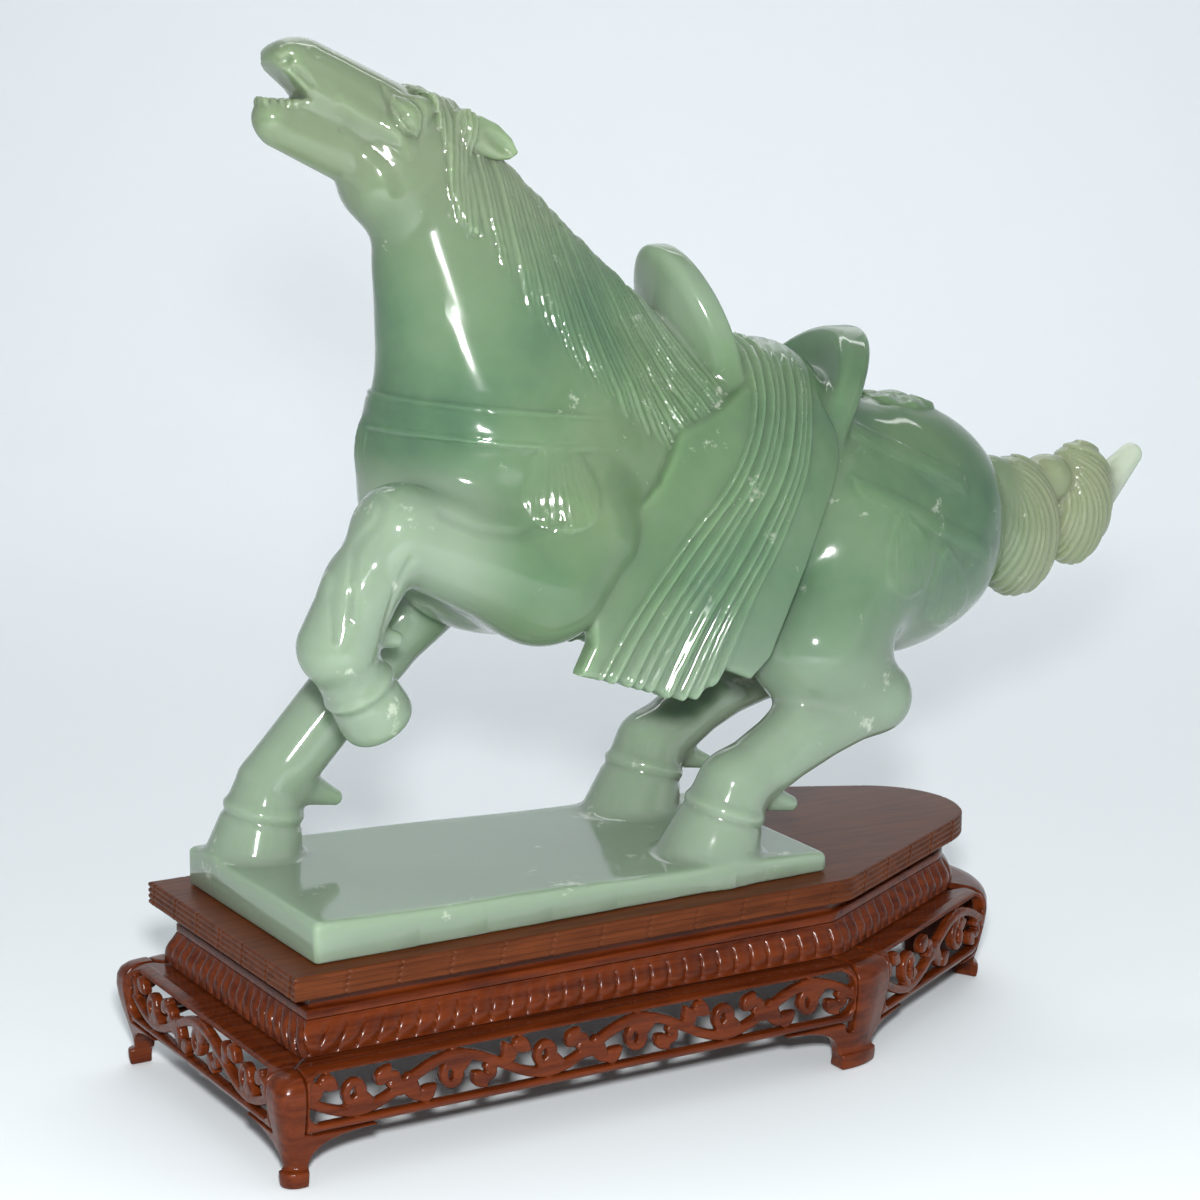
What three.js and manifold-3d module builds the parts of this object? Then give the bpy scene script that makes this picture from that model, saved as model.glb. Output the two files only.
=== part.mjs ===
// A jade horse on its slab, standing on a carved wooden stand.
// Millimetres, +Z up. The horse faces -X, and its left side faces -Y.
// Everything is laid out from the stand: x from the stand's square end, y from its centre line,
// z from the floor. The last lines move the group, so that the origin is under its middle.

import * as THREE from 'three';
import Module from 'manifold-3d';

const wasm = await Module();
wasm.setup();

// Driving sizes of the stand

const BOARD_WIDTH = 100;
const BOARD_FRONT_LENGTH = 176;
const BOARD_BACK_LENGTH = 209.5;
const BOARD_POINT = [287.5, 11];
const BOARD_NOSE_RADIUS = 28;
const BOARD_BEND_RADIUS = 14;
const BOARD_CORNER_RADIUS = 0.8;
const BOARD_TOP = 55.3;
const BOARD_THICKNESS = 6.7;
const REED_COUNT = 4;
const REED_DEPTH = 0.8;
const JOINT_GAP = 0.3;

const WAIST_INSET = 8;
const SHOULDER_TOP = 41;
const SHOULDER_FOOT = 32.4;
const SHOULDER_INSET = 2.8;
const RIB_PITCH = 5.4;
const RIB_DEPTH = 1.1;
const RIB_BULGE = 1.6;
const FRAME_WALL = 6.5;

const APRON_TOP = 31.8;
const APRON_LEDGE = 9;
const APRON_BAR = 2.4;
const WINDOW_TOP = 30.2;
const WINDOW_BORDER = 0.8;
const BRACKET_RUN = 20;
const FOOT_PAD = 4.6;
const FOOT_NECK = 5.2;

// Driving sizes of the slab and the horse

const SLAB_TOP_LEFT = 66.8;
const SLAB_TOP_RIGHT = 61.4;
const SLAB_LEFT = 9;
const SLAB_RIGHT = 175;
const SLAB_HALF_WIDTH = 43;
const SLAB_RIGHT_HALF_WIDTH = 39;
const SLAB_BOTTOM = BOARD_TOP + JOINT_GAP;

const STONE_BOUNDS = [[0, -54, SLAB_BOTTOM - 2.7], [336, 54, 300]];
const CLOTH_BOUNDS = [[88, -48, 106], [196, 48, 224]];
const GRID_STEP = 1.8;
const BODY_TRIANGLES = 3150;
const CLOTH_GRID_STEP = 1.2;
const CLOTH_TRIANGLES = 880;

// Small vector tools

const clamp = (value, low, high) => Math.min(high, Math.max(low, value));
const mix = (a, b, t) => a + (b - a) * t;
const smoothstep = (low, high, value) => {
  const t = clamp((value - low) / (high - low), 0, 1);
  return t * t * (3 - 2 * t);
};

// Distance fields: each is negative inside the stone

// An ellipsoid, turned by `pitch` degrees in the side view (nose end up when positive).
function ball(x, y, z, [cx, cy, cz], [rx, ry, rz], pitch = 0) {
  let dx = x - cx;
  const dy = y - cy;
  let dz = z - cz;
  if (pitch) {
    const c = Math.cos(pitch * Math.PI / 180);
    const s = Math.sin(pitch * Math.PI / 180);
    [dx, dz] = [c * dx - s * dz, s * dx + c * dz];
  }
  const scaled = Math.hypot(dx / rx, dy / ry, dz / rz);
  const slope = Math.hypot(dx / (rx * rx), dy / (ry * ry), dz / (rz * rz));
  return scaled < 1e-6 ? -Math.min(rx, ry, rz) : scaled * (scaled - 1) / slope;
}

// A rod whose radius changes from ra at a to rb at b; `flat` scales its thickness across.
function rod(x, y, z, a, ra, b, rb, flat = 1) {
  const bx = b[0] - a[0];
  const by = b[1] - a[1];
  const bz = b[2] - a[2];
  const px = x - a[0];
  const py = y - a[1];
  const pz = z - a[2];
  const t = clamp((px * bx + py * by + pz * bz) / (bx * bx + by * by + bz * bz), 0, 1);
  return Math.hypot(px - t * bx, (py - t * by) / flat, pz - t * bz) - mix(ra, rb, t);
}

// A smooth union: the seam is rounded over the distance k.
function join(a, b, k) {
  const h = Math.max(k - Math.abs(a - b), 0) / k;
  return Math.min(a, b) - h * h * k / 4;
}

// A smooth intersection.
const trim = (a, b, k) => -join(-a, -b, k);

// The signed distance to a closed outline of [u, v] points, negative inside.
function outlineDistance(u, v, points) {
  let best = Infinity;
  let inside = false;
  for (let i = 0, j = points.length - 1; i < points.length; j = i, i += 1) {
    const [ax, ay] = points[i];
    const [bx, by] = points[j];
    const t = clamp(((u - ax) * (bx - ax) + (v - ay) * (by - ay)) / ((bx - ax) ** 2 + (by - ay) ** 2), 0, 1);
    best = Math.min(best, Math.hypot(u - ax - t * (bx - ax), v - ay - t * (by - ay)));
    if ((ay > v) !== (by > v) && u < ax + (v - ay) / (by - ay) * (bx - ax)) {
      inside = !inside;
    }
  }
  return inside ? -best : best;
}

// A smooth line through a few [position, value] stations.
function curveThrough(stations) {
  return (position) => {
    let i = 0;
    while (i < stations.length - 2 && position > stations[i + 1][0]) {
      i += 1;
    }
    const [a, b] = [stations[i], stations[i + 1]];
    const before = stations[i - 1] ?? a;
    const after = stations[i + 2] ?? b;
    const t = clamp((position - a[0]) / (b[0] - a[0]), 0, 1);
    const span = b[0] - a[0];
    const startSlope = (b[1] - before[1]) / (b[0] - before[0]) * span;
    const endSlope = (after[1] - a[1]) / (after[0] - a[0]) * span;
    const t2 = t * t;
    const t3 = t2 * t;
    return (2 * t3 - 3 * t2 + 1) * a[1] + (t3 - 2 * t2 + t) * startSlope
      + (3 * t2 - 2 * t3) * b[1] + (t3 - t2) * endSlope;
  };
}

// Trunk and neck

const CHEST = { centre: [90, 0, 171], radii: [43, 33, 43] };
const BARREL = { centre: [150, 0, 166], radii: [62, 34, 40] };
const RUMP = { centre: [216, 0, 148], radii: [45, 35, 39.5] };

function trunk(x, y, z) {
  const chest = ball(x, y, z, CHEST.centre, CHEST.radii);
  const barrel = ball(x, y, z, BARREL.centre, BARREL.radii);
  const rump = ball(x, y, z, RUMP.centre, RUMP.radii);
  return join(join(chest, barrel, 14), rump, 12);
}

function neck(x, y, z) {
  const front = rod(x, y, z, [66, 0, 256], 17, [92, 0, 192], 41, 0.78);
  const crest = rod(x, y, z, [80, 0, 249], 11, [132, 0, 200], 15, 0.8);
  return join(front, crest, 10);
}

// Head: thrown up, mouth open

const POLL = [63, 0, 265];
const MUZZLE = [30, 0, 284];
const CHIN = [23, 0, 271.5];
const JAW = [46, 0, 262];

function head(x, y, z) {
  let d = rod(x, y, z, MUZZLE, 9.6, POLL, 13, 0.88);
  d = join(d, ball(x, y, z, [25.5, 0, 287.5], [6, 7.5, 5.5]), 4);
  d = join(d, rod(x, y, z, CHIN, 6.6, JAW, 11, 0.8), 5);
  const side = Math.abs(y);
  d = join(d, ball(x, side, z, [55, 6.5, 257], [13.5, 7.5, 12.5]), 4);
  d = join(d, ball(x, side, z, [56, 9, 273], [8, 4.5, 5], -28), 3);
  const mouth = outlineDistance(x, z, [[29, 278.2], [10, 277], [10, 296], [18.5, 288.5]]);
  return trim(d, -mouth, 1.5);
}

function ears(x, y, z) {
  const side = Math.abs(y);
  return rod(x, side, z, [73, 8, 268], 5, [86.5, 9, 263.6], 2.2, 0.7);
}

// Mane: a thick layer over the crest, ending in an edge down both sides of the neck

const MANE_EDGE = [
  [62, 284], [84, 279], [100, 262], [154, 222], [152, 200], [137, 183], [118, 185], [103, 192],
  [88, 214], [67, 243], [61, 262],
];
const MANE_RISE = 2;
const LOCK_PITCH = 8;
const LOCK_DEPTH = 1.1;
const LOCK_LEAN = 0.36;

function mane(x, y, z, neckDistance) {
  const edge = outlineDistance(x, z, MANE_EDGE);
  if (edge > 4) {
    return edge;
  }
  const lock = Math.abs(Math.sin(Math.PI * (x + LOCK_LEAN * (z - 200)) / LOCK_PITCH));
  return trim(neckDistance - MANE_RISE + LOCK_DEPTH * (1 - lock), edge, 1.5);
}

function forelock(x, y, z) {
  const tuft = rod(x, y, z, [72, -2, 272], 6.4, [76, -1, 265], 9);
  const fall = rod(x, Math.abs(y), z, [72, 6, 272], 5.5, [71, 15, 247], 4.5);
  return join(tuft, fall, 3);
}

// Legs: each is a chain of rods from the body to the hoof

function chain(x, y, z, joints, k) {
  let d = Infinity;
  for (let i = 0; i + 1 < joints.length; i += 1) {
    const [a, ra] = joints[i];
    const [b, rb] = joints[i + 1];
    const link = rod(x, y, z, a, ra, b, rb);
    d = i === 0 ? link : join(d, link, k);
  }
  return d;
}

// A hoof is a cone frustum: from the coronet down to a flat sole.
function hoof(x, y, z, top, topRadius, sole, soleRadius) {
  const ax = sole[0] - top[0];
  const ay = sole[1] - top[1];
  const az = sole[2] - top[2];
  const length = Math.hypot(ax, ay, az);
  const along = ((x - top[0]) * ax + (y - top[1]) * ay + (z - top[2]) * az) / length;
  const t = clamp(along / length, 0, 1);
  const off = Math.hypot(x - top[0] - t * ax, y - top[1] - t * ay, z - top[2] - t * az);
  return trim(off - mix(topRadius, soleRadius, t), along - length, 2);
}

const NEAR_KNEE = [44.5, -24, 165];
const NEAR_FETLOCK = [26.5, -23, 135];
const FAR_KNEE = [59, 23, 121];
const FAR_FETLOCK = [33, 25, 92];

function foreLegs(x, y, z) {
  let near = chain(x, y, z, [[[97, -20, 160], 22], [[88, -23, 149], 18.5], [NEAR_KNEE, 12.5]], 6);
  near = join(near, chain(x, y, z, [[NEAR_KNEE, 11.8], [[33, -23.5, 150], 10], [NEAR_FETLOCK, 11]], 3), 3);
  near = join(near, rod(x, y, z, [34, -23, 138], 4, [43.5, -23, 135.5], 2.3), 3);
  near = join(near, hoof(x, y, z, [31, -22, 127], 9, [43, -20.5, 109], 11.5), 3);
  let far = chain(x, y, z, [
    [[92, 22, 158], 20], [[84, 23, 144], 13.5], [FAR_KNEE, 9.8], [FAR_FETLOCK, 9.6],
  ], 4);
  far = join(far, rod(x, y, z, [36, 25, 85], 6, [48, 26, 79.5], 2.4), 3);
  far = join(far, hoof(x, y, z, [28, 26.5, 86], 9.5, [23, 27.5, SLAB_TOP_LEFT - 3], 14.5), 3);
  return Math.min(near, far);
}

const THIGH = [[[200, 12, 146], 29], [[181, 23, 119], 18], [[199, 28, 103], 10.5]];
const HIND_CANNON = [[[199, 28, 102], 9.2], [[172, 28, 95], 9.5], [[150, 27, 81], 9.8]];
const FAR_HIND_SHIFT = 5;

function hindLeg(x, y, z, shift, side) {
  const across = y * side;
  const along = x - shift;
  let leg = join(chain(along, across, z, THIGH, 8), chain(along, across, z, HIND_CANNON, 3), 5);
  leg = join(leg, rod(along, across, z, [158, 27, 78], 5, [170, 27, 73.5], 2.3), 3);
  return join(leg, hoof(along, across, z, [150, 27, 82], 10, [143, 25.5, 61], 15.5), 4);
}

function hindLegs(x, y, z) {
  return Math.min(hindLeg(x, y, z, 0, -1), hindLeg(x, y, z, FAR_HIND_SHIFT, 1));
}

// Tail: curled locks swept back

function tail(x, y, z) {
  const root = ball(x, y, z, [262, 2, 150], [14, 10, 16]);
  const first = ball(x, y, z, [274, 3, 142.5], [16.5, 13, 23], -6);
  const second = ball(x, y, z, [302, 7, 147], [13.5, 11, 20.5], 6);
  const bridge = ball(x, y, z, [288, 5, 156], [9, 8, 8]);
  const tip = rod(x, y, z, [312, 8, 149], 6.5, [326, 8, 161], 3.6, 0.7);
  return join(join(join(join(root, first, 3), bridge, 2), second, 2), tip, 2);
}

// Saddle: two upright arches and the seat between them

function arch(x, y, z, [cx, cz], halfWidth, height, thick, lean) {
  const up = z - cz;
  const along = x - cx - lean * up;
  const rise = Math.sqrt(Math.max(0, 1 - (y / halfWidth) ** 2));
  const face = Math.hypot(y / halfWidth, Math.max(up, 0) / height) - 1;
  const plate = trim(face * Math.min(halfWidth, height), Math.abs(along) - thick * (0.65 + 0.35 * rise), 5);
  return Math.max(plate, -4 - up);
}

function saddle(x, y, z) {
  const pommel = arch(x, y, z, [149.5, 193], 23.5, 43, 7.3, -0.17);
  const cantle = arch(x, y, z, [188, 180], 27, 29.5, 8, 0.45);
  const seat = ball(x, y, z, [170, 0, 186], [24, 27, 22]);
  return join(join(pommel, seat, 4), cantle, 4);
}

// Saddle cloth: hangs over both flanks; its folds fan from the seat to the hem

const CLOTH_OUTLINE = [
  [152, 240], [155, 198], [144, 192], [130, 187], [121, 173], [111, 164], [101, 152], [96, 144],
  [98, 137], [98, 130], [93.5, 122], [103, 119], [115, 115], [124, 111.5], [132, 111.3],
  [137.5, 115.5], [140, 119], [148.5, 115.2], [155.5, 121], [161, 131], [168, 144],
  [174, 155.5], [180, 167], [183.3, 175], [183.8, 182], [181, 190], [186, 240],
];
const FAR_CLOTH_OUTLINE = [
  [152, 240], [155, 198], [144, 192], [132, 180], [120, 155], [114, 138], [113, 130], [118, 123],
  [127, 115.5], [140, 113.3], [149, 114], [155.5, 121], [161, 131], [168, 144], [174, 155.5],
  [180, 167], [183.3, 175], [183.8, 182], [181, 190], [186, 240],
];
const CLOTH_THICKNESS = 3.2;
const CLOTH_WALL = 6.5;
const FOLD_COUNT = 8;
const FAR_FOLD_COUNT = 5;
const FOLD_HEIGHT = 1.6;
const FOLD_FRONT = curveThrough([[112, 94], [135, 110], [155, 127], [172, 142], [188, 152], [207, 160]]);
const FOLD_BACK = curveThrough([[112, 136], [135, 147], [155, 160], [172, 168], [188, 174], [207, 184]]);

const WIDEST_LEVEL = 163;
const CLOTH_FLARE = 0.03;
const CLOTH_REACH = 5;

// The form the cloth is laid on: the trunk, carried straight down below its widest line.
function drapeForm(x, y, z) {
  const hung = Math.max(z, WIDEST_LEVEL);
  return trunk(x, y, hung) - CLOTH_FLARE * (hung - z);
}

function cloth(x, y, z) {
  const edge = outlineDistance(x, z, y < 0 ? CLOTH_OUTLINE : FAR_CLOTH_OUTLINE);
  if (edge > CLOTH_REACH) {
    return edge;
  }
  const across = (x - FOLD_FRONT(z)) / (FOLD_BACK(z) - FOLD_FRONT(z));
  const inFolds = smoothstep(-0.06, 0.02, across) * (1 - smoothstep(0.98, 1.05, across));
  const crest = 1 - Math.abs(Math.sin(Math.PI * (y < 0 ? FOLD_COUNT : FAR_FOLD_COUNT) * across));
  const form = drapeForm(x, y, z);
  const outer = form - CLOTH_THICKNESS - inFolds * (0.4 + FOLD_HEIGHT * crest);
  return trim(trim(outer, -(form + CLOTH_WALL - CLOTH_THICKNESS), 1), edge, 2.4);
}

// Harness: the breast strap, the crupper straps and their tassels

const TASSEL_RISE = 2.2;
const TASSELS = [
  { at: [95, 170], size: 13, lean: 0.35 },
  { at: [199, 141], size: 11.5, lean: 0 },
  { at: [227, 130], size: 11.5, lean: 0.3 },
  { at: [219, 171], size: 9, lean: -0.3 },
];

function strapBand(level, reach, x, z, body, halfWidth, rise) {
  return trim(trim(body - rise, Math.abs(z - level) - halfWidth, 1), reach, 1);
}

// A tassel lies on the surface: a round knot above a drop-shaped skirt, seen from the side.
function tassel(x, z, body, [cx, cz], size, lean) {
  const across = x - cx + lean * (z - cz);
  const up = (z - cz) / size;
  const width = size * 0.42 * Math.sqrt(Math.max(0, 1 - up * up)) * (1 - 0.3 * up);
  const skirt = Math.max(Math.abs(across) - width, Math.abs(z - cz) - size);
  const knot = Math.hypot(x - cx + lean * size, z - cz - size) - size * 0.34;
  return trim(body - TASSEL_RISE, Math.min(skirt, knot), 1.4);
}

function harness(x, y, z, body) {
  if (body > 6) {
    return body;
  }
  let d = strapBand(193.5 - 0.06 * (x - 50), x - 92, x, z, body, 5, 1.5);
  d = Math.min(d, strapBand(187 - 0.52 * (x - 184), Math.abs(x - 205) - 24, x, z, body, 2.6, 1.3));
  d = Math.min(d, strapBand(168 - 0.5 * (x - 186), Math.abs(x - 214) - 26, x, z, body, 2.4, 1.2));
  for (const { at, size, lean } of TASSELS) {
    d = Math.min(d, tassel(x, z, body, at, size, lean));
  }
  return join(d, ball(x, y, z, [52, 5, 181], [5, 8, 13]), 1);
}

// A raised flower on the croup: a low dome with petals around it.
function croupFlower(x, y, z, body) {
  const u = x - 224;
  const v = Math.abs(y) * 1.1;
  const radius = Math.hypot(u, v);
  const petals = 1.4 + 0.5 * Math.cos(8 * Math.atan2(v, u));
  return trim(trim(body - petals, radius - 13, 1.5), 150 - z, 1);
}

// The slab: a plate that thins towards its right-hand end

function slab(x, y, z) {
  const t = clamp((x - SLAB_LEFT) / (SLAB_RIGHT - SLAB_LEFT), 0, 1);
  const top = mix(SLAB_TOP_LEFT, SLAB_TOP_RIGHT, t);
  const half = mix(SLAB_HALF_WIDTH, SLAB_RIGHT_HALF_WIDTH, t);
  const middle = (SLAB_LEFT + SLAB_RIGHT) / 2;
  const sides = trim(Math.abs(x - middle) - (SLAB_RIGHT - SLAB_LEFT) / 2, Math.abs(y + 1) - half, 2.5);
  return trim(sides, z - top, 2);
}

// The whole stone

function stone(x, y, z) {
  const trunkDistance = trunk(x, y, z);
  const neckDistance = join(trunkDistance, neck(x, y, z), 12);
  let body = join(neckDistance, head(x, y, z), 6);
  body = join(body, ears(x, y, z), 1.5);
  body = join(body, foreLegs(x, y, z), 6);
  body = join(body, hindLegs(x, y, z), 6);
  body = join(body, tail(x, y, z), 2.5);
  let d = join(body, mane(x, y, z, neckDistance), 0.8);
  d = join(d, forelock(x, y, z), 1.5);
  d = join(d, saddle(x, y, z), 2);
  d = join(d, harness(x, y, z, body), 0.8);
  d = join(d, croupFlower(x, y, z, body), 0.8);
  d = join(d, slab(x, y, z), 3);
  return Math.max(d, SLAB_BOTTOM - z);
}

// From a field to a closed mesh: each grid cell is split in six tetrahedra around its diagonal

const TETRAHEDRA = [[1, 3], [1, 5], [2, 3], [2, 6], [4, 5], [4, 6]].map(([a, b]) => [0, a, b, 7]);
const BLOCK = 5;

// Samples the field at the grid points near its surface; the others stay NaN.
function sampleField(field, low, counts, step) {
  const [nx, ny, nz] = counts;
  const values = new Float32Array(nx * ny * nz).fill(NaN);
  const reach = BLOCK * step * Math.sqrt(3) * 0.5 + 3 * step;
  for (let bz = 0; bz < nz; bz += BLOCK) {
    for (let by = 0; by < ny; by += BLOCK) {
      for (let bx = 0; bx < nx; bx += BLOCK) {
        const middle = [bx, by, bz].map((b, axis) => low[axis] + (b + BLOCK / 2) * step);
        if (Math.abs(field(...middle)) > reach) {
          continue;
        }
        for (let k = bz; k <= Math.min(bz + BLOCK, nz - 1); k += 1) {
          for (let j = by; j <= Math.min(by + BLOCK, ny - 1); j += 1) {
            for (let i = bx; i <= Math.min(bx + BLOCK, nx - 1); i += 1) {
              const at = (k * ny + j) * nx + i;
              if (Number.isNaN(values[at])) {
                values[at] = field(low[0] + i * step, low[1] + j * step, low[2] + k * step);
              }
            }
          }
        }
      }
    }
  }
  return values;
}

function polygonise(field, low, high, step) {
  const counts = low.map((start, axis) => Math.ceil((high[axis] - start) / step) + 1);
  const [nx, ny, nz] = counts;
  const values = sampleField(field, low, counts, step);
  const offsets = Array.from({ length: 8 }, (_, c) => (c & 1) + nx * ((c >> 1) & 1) + nx * ny * (c >> 2));
  const place = (at) => [at % nx, Math.floor(at / nx) % ny, Math.floor(at / (nx * ny))];
  const vertexOf = new Map();
  const positions = [];
  const triangles = [];

  // The surface point on the grid edge between corners a and b, with a the lower one.
  function surfacePoint(base, a, b) {
    const start = base + offsets[Math.min(a, b)];
    const end = base + offsets[Math.max(a, b)];
    const key = start * 8 + Math.abs(b - a);
    if (!vertexOf.has(key)) {
      const t = clamp(values[start] / (values[start] - values[end]), 0.04, 0.96);
      const p = place(start);
      const q = place(end);
      vertexOf.set(key, positions.length / 3);
      positions.push(...p.map((value, axis) => low[axis] + step * mix(value, q[axis], t)));
    }
    return vertexOf.get(key);
  }

  function addTriangle(a, b, c, outward) {
    const point = (i) => [positions[3 * i], positions[3 * i + 1], positions[3 * i + 2]];
    const [p, q, r] = [point(a), point(b), point(c)];
    const u = q.map((value, axis) => value - p[axis]);
    const v = r.map((value, axis) => value - p[axis]);
    const facing = (u[1] * v[2] - u[2] * v[1]) * outward[0] + (u[2] * v[0] - u[0] * v[2]) * outward[1]
      + (u[0] * v[1] - u[1] * v[0]) * outward[2];
    triangles.push(...(facing >= 0 ? [a, b, c] : [a, c, b]));
  }

  function marchTetrahedron(base, corners) {
    const inner = corners.filter((c) => values[base + offsets[c]] < 0);
    const outer = corners.filter((c) => values[base + offsets[c]] >= 0);
    if (inner.length === 0 || outer.length === 0) {
      return;
    }
    const mean = (list, axis) => list.reduce((sum, c) => sum + ((c >> axis) & 1), 0) / list.length;
    const outward = [0, 1, 2].map((axis) => mean(outer, axis) - mean(inner, axis));
    if (inner.length === 2) {
      const [a, b] = inner;
      const [c, d] = outer;
      const ring = [[a, c], [a, d], [b, d], [b, c]].map(([s, t]) => surfacePoint(base, s, t));
      addTriangle(ring[0], ring[1], ring[2], outward);
      addTriangle(ring[0], ring[2], ring[3], outward);
      return;
    }
    const lone = inner.length === 1 ? inner[0] : outer[0];
    const others = inner.length === 1 ? outer : inner;
    const ring = others.map((c) => surfacePoint(base, lone, c));
    addTriangle(...ring, outward);
  }

  for (let k = 0; k + 1 < nz; k += 1) {
    for (let j = 0; j + 1 < ny; j += 1) {
      for (let i = 0; i + 1 < nx; i += 1) {
        const base = (k * ny + j) * nx + i;
        let insideCount = 0;
        let known = true;
        for (const offset of offsets) {
          const value = values[base + offset];
          known = known && !Number.isNaN(value);
          insideCount += value < 0 ? 1 : 0;
        }
        if (known && insideCount > 0 && insideCount < 8) {
          TETRAHEDRA.forEach((corners) => marchTetrahedron(base, corners));
        }
      }
    }
  }
  return { positions: Float64Array.from(positions), triangles: Int32Array.from(triangles) };
}

// Thinning: the edges whose collapse moves the surface least go first

// A heap of candidate collapses, the cheapest on top.
class CollapseQueue {
  constructor() {
    this.items = [];
  }

  push(item) {
    const items = this.items;
    let at = items.push(item) - 1;
    while (at > 0) {
      const parent = (at - 1) >> 1;
      if (items[parent].cost <= item.cost) {
        break;
      }
      items[at] = items[parent];
      at = parent;
    }
    items[at] = item;
  }

  pop() {
    const items = this.items;
    const top = items[0];
    const last = items.pop();
    if (items.length > 0) {
      let at = 0;
      for (;;) {
        let child = 2 * at + 1;
        if (child >= items.length) {
          break;
        }
        if (child + 1 < items.length && items[child + 1].cost < items[child].cost) {
          child += 1;
        }
        if (items[child].cost >= last.cost) {
          break;
        }
        items[at] = items[child];
        at = child;
      }
      items[at] = last;
    }
    return top;
  }
}

const QUADRIC_SIZE = 10;
const SPREAD_COST = 2e-4;
const LEAST_FACING = 0.25;

function thin(mesh, targetTriangles) {
  const p = mesh.positions;
  const tri = mesh.triangles;
  const vertexCount = p.length / 3;
  const quadrics = new Float64Array(vertexCount * QUADRIC_SIZE);
  const faces = Array.from({ length: vertexCount }, () => []);
  const stamp = new Int32Array(vertexCount);
  const faceAlive = new Uint8Array(tri.length / 3).fill(1);
  const vertexAlive = new Uint8Array(vertexCount).fill(1);
  let alive = tri.length / 3;

  function faceNormal(a, b, c, moved = -1, to = null) {
    const at = (i, axis) => (i === moved ? to[axis] : p[3 * i + axis]);
    const ux = at(b, 0) - at(a, 0);
    const uy = at(b, 1) - at(a, 1);
    const uz = at(b, 2) - at(a, 2);
    const vx = at(c, 0) - at(a, 0);
    const vy = at(c, 1) - at(a, 1);
    const vz = at(c, 2) - at(a, 2);
    return [uy * vz - uz * vy, uz * vx - ux * vz, ux * vy - uy * vx];
  }

  for (let f = 0; f < alive; f += 1) {
    const corners = [tri[3 * f], tri[3 * f + 1], tri[3 * f + 2]];
    const n = faceNormal(...corners);
    const twice = Math.hypot(...n) || 1e-12;
    const [a, b, c] = n.map((value) => value / twice);
    const d = -(a * p[3 * corners[0]] + b * p[3 * corners[0] + 1] + c * p[3 * corners[0] + 2]);
    const terms = [a * a, a * b, a * c, a * d, b * b, b * c, b * d, c * c, c * d, d * d];
    for (const corner of corners) {
      faces[corner].push(f);
      terms.forEach((term, i) => {
        quadrics[corner * QUADRIC_SIZE + i] += term * twice / 6;
      });
    }
  }

  function cost(q, x, y, z) {
    return q[0] * x * x + 2 * q[1] * x * y + 2 * q[2] * x * z + 2 * q[3] * x + q[4] * y * y
      + 2 * q[5] * y * z + 2 * q[6] * y + q[7] * z * z + 2 * q[8] * z + q[9];
  }

  function candidate(u, v) {
    const q = new Float64Array(QUADRIC_SIZE);
    for (let i = 0; i < QUADRIC_SIZE; i += 1) {
      q[i] = quadrics[u * QUADRIC_SIZE + i] + quadrics[v * QUADRIC_SIZE + i];
    }
    const a = [p[3 * u], p[3 * u + 1], p[3 * u + 2]];
    const b = [p[3 * v], p[3 * v + 1], p[3 * v + 2]];
    const middle = a.map((value, axis) => (value + b[axis]) / 2);
    const length = Math.hypot(a[0] - b[0], a[1] - b[1], a[2] - b[2]);
    const m00 = q[4] * q[7] - q[5] * q[5];
    const m01 = q[2] * q[5] - q[1] * q[7];
    const m02 = q[1] * q[5] - q[2] * q[4];
    const det = q[0] * m00 + q[1] * m01 + q[2] * m02;
    const size = q[0] + q[4] + q[7];
    const places = [middle, a, b];
    if (Math.abs(det) > 1e-5 * size ** 3) {
      const m11 = q[0] * q[7] - q[2] * q[2];
      const m12 = q[1] * q[2] - q[0] * q[5];
      const m22 = q[0] * q[4] - q[1] * q[1];
      const best = [
        -(m00 * q[3] + m01 * q[6] + m02 * q[8]) / det,
        -(m01 * q[3] + m11 * q[6] + m12 * q[8]) / det,
        -(m02 * q[3] + m12 * q[6] + m22 * q[8]) / det,
      ];
      if (Math.hypot(...best.map((value, axis) => value - middle[axis])) < length) {
        places.push(best);
      }
    }
    let to = places[0];
    let least = Infinity;
    for (const place of places) {
      const c = cost(q, ...place);
      if (c < least) {
        least = c;
        to = place;
      }
    }
    const spread = SPREAD_COST * length * length * size;
    return { cost: Math.max(least, 0) + spread, u, v, to, stampU: stamp[u], stampV: stamp[v] };
  }

  function neighbours(vertex) {
    const found = [];
    for (const f of faces[vertex]) {
      for (let i = 0; i < 3; i += 1) {
        const other = tri[3 * f + i];
        if (other !== vertex && !found.includes(other)) {
          found.push(other);
        }
      }
    }
    return found;
  }

  // A face may tilt, but it may not turn over or shrink to a line.
  function staysFacing(vertex, other, to) {
    return faces[vertex].every((f) => {
      const corners = [tri[3 * f], tri[3 * f + 1], tri[3 * f + 2]];
      if (corners.includes(other)) {
        return true;
      }
      const before = faceNormal(...corners);
      const after = faceNormal(...corners, vertex, to);
      const dot = before[0] * after[0] + before[1] * after[1] + before[2] * after[2];
      return dot > LEAST_FACING * Math.hypot(...before) * Math.hypot(...after) && Math.hypot(...after) > 1e-3;
    });
  }

  const queue = new CollapseQueue();
  for (let vertex = 0; vertex < vertexCount; vertex += 1) {
    for (const other of neighbours(vertex)) {
      if (vertex < other) {
        queue.push(candidate(vertex, other));
      }
    }
  }

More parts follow.
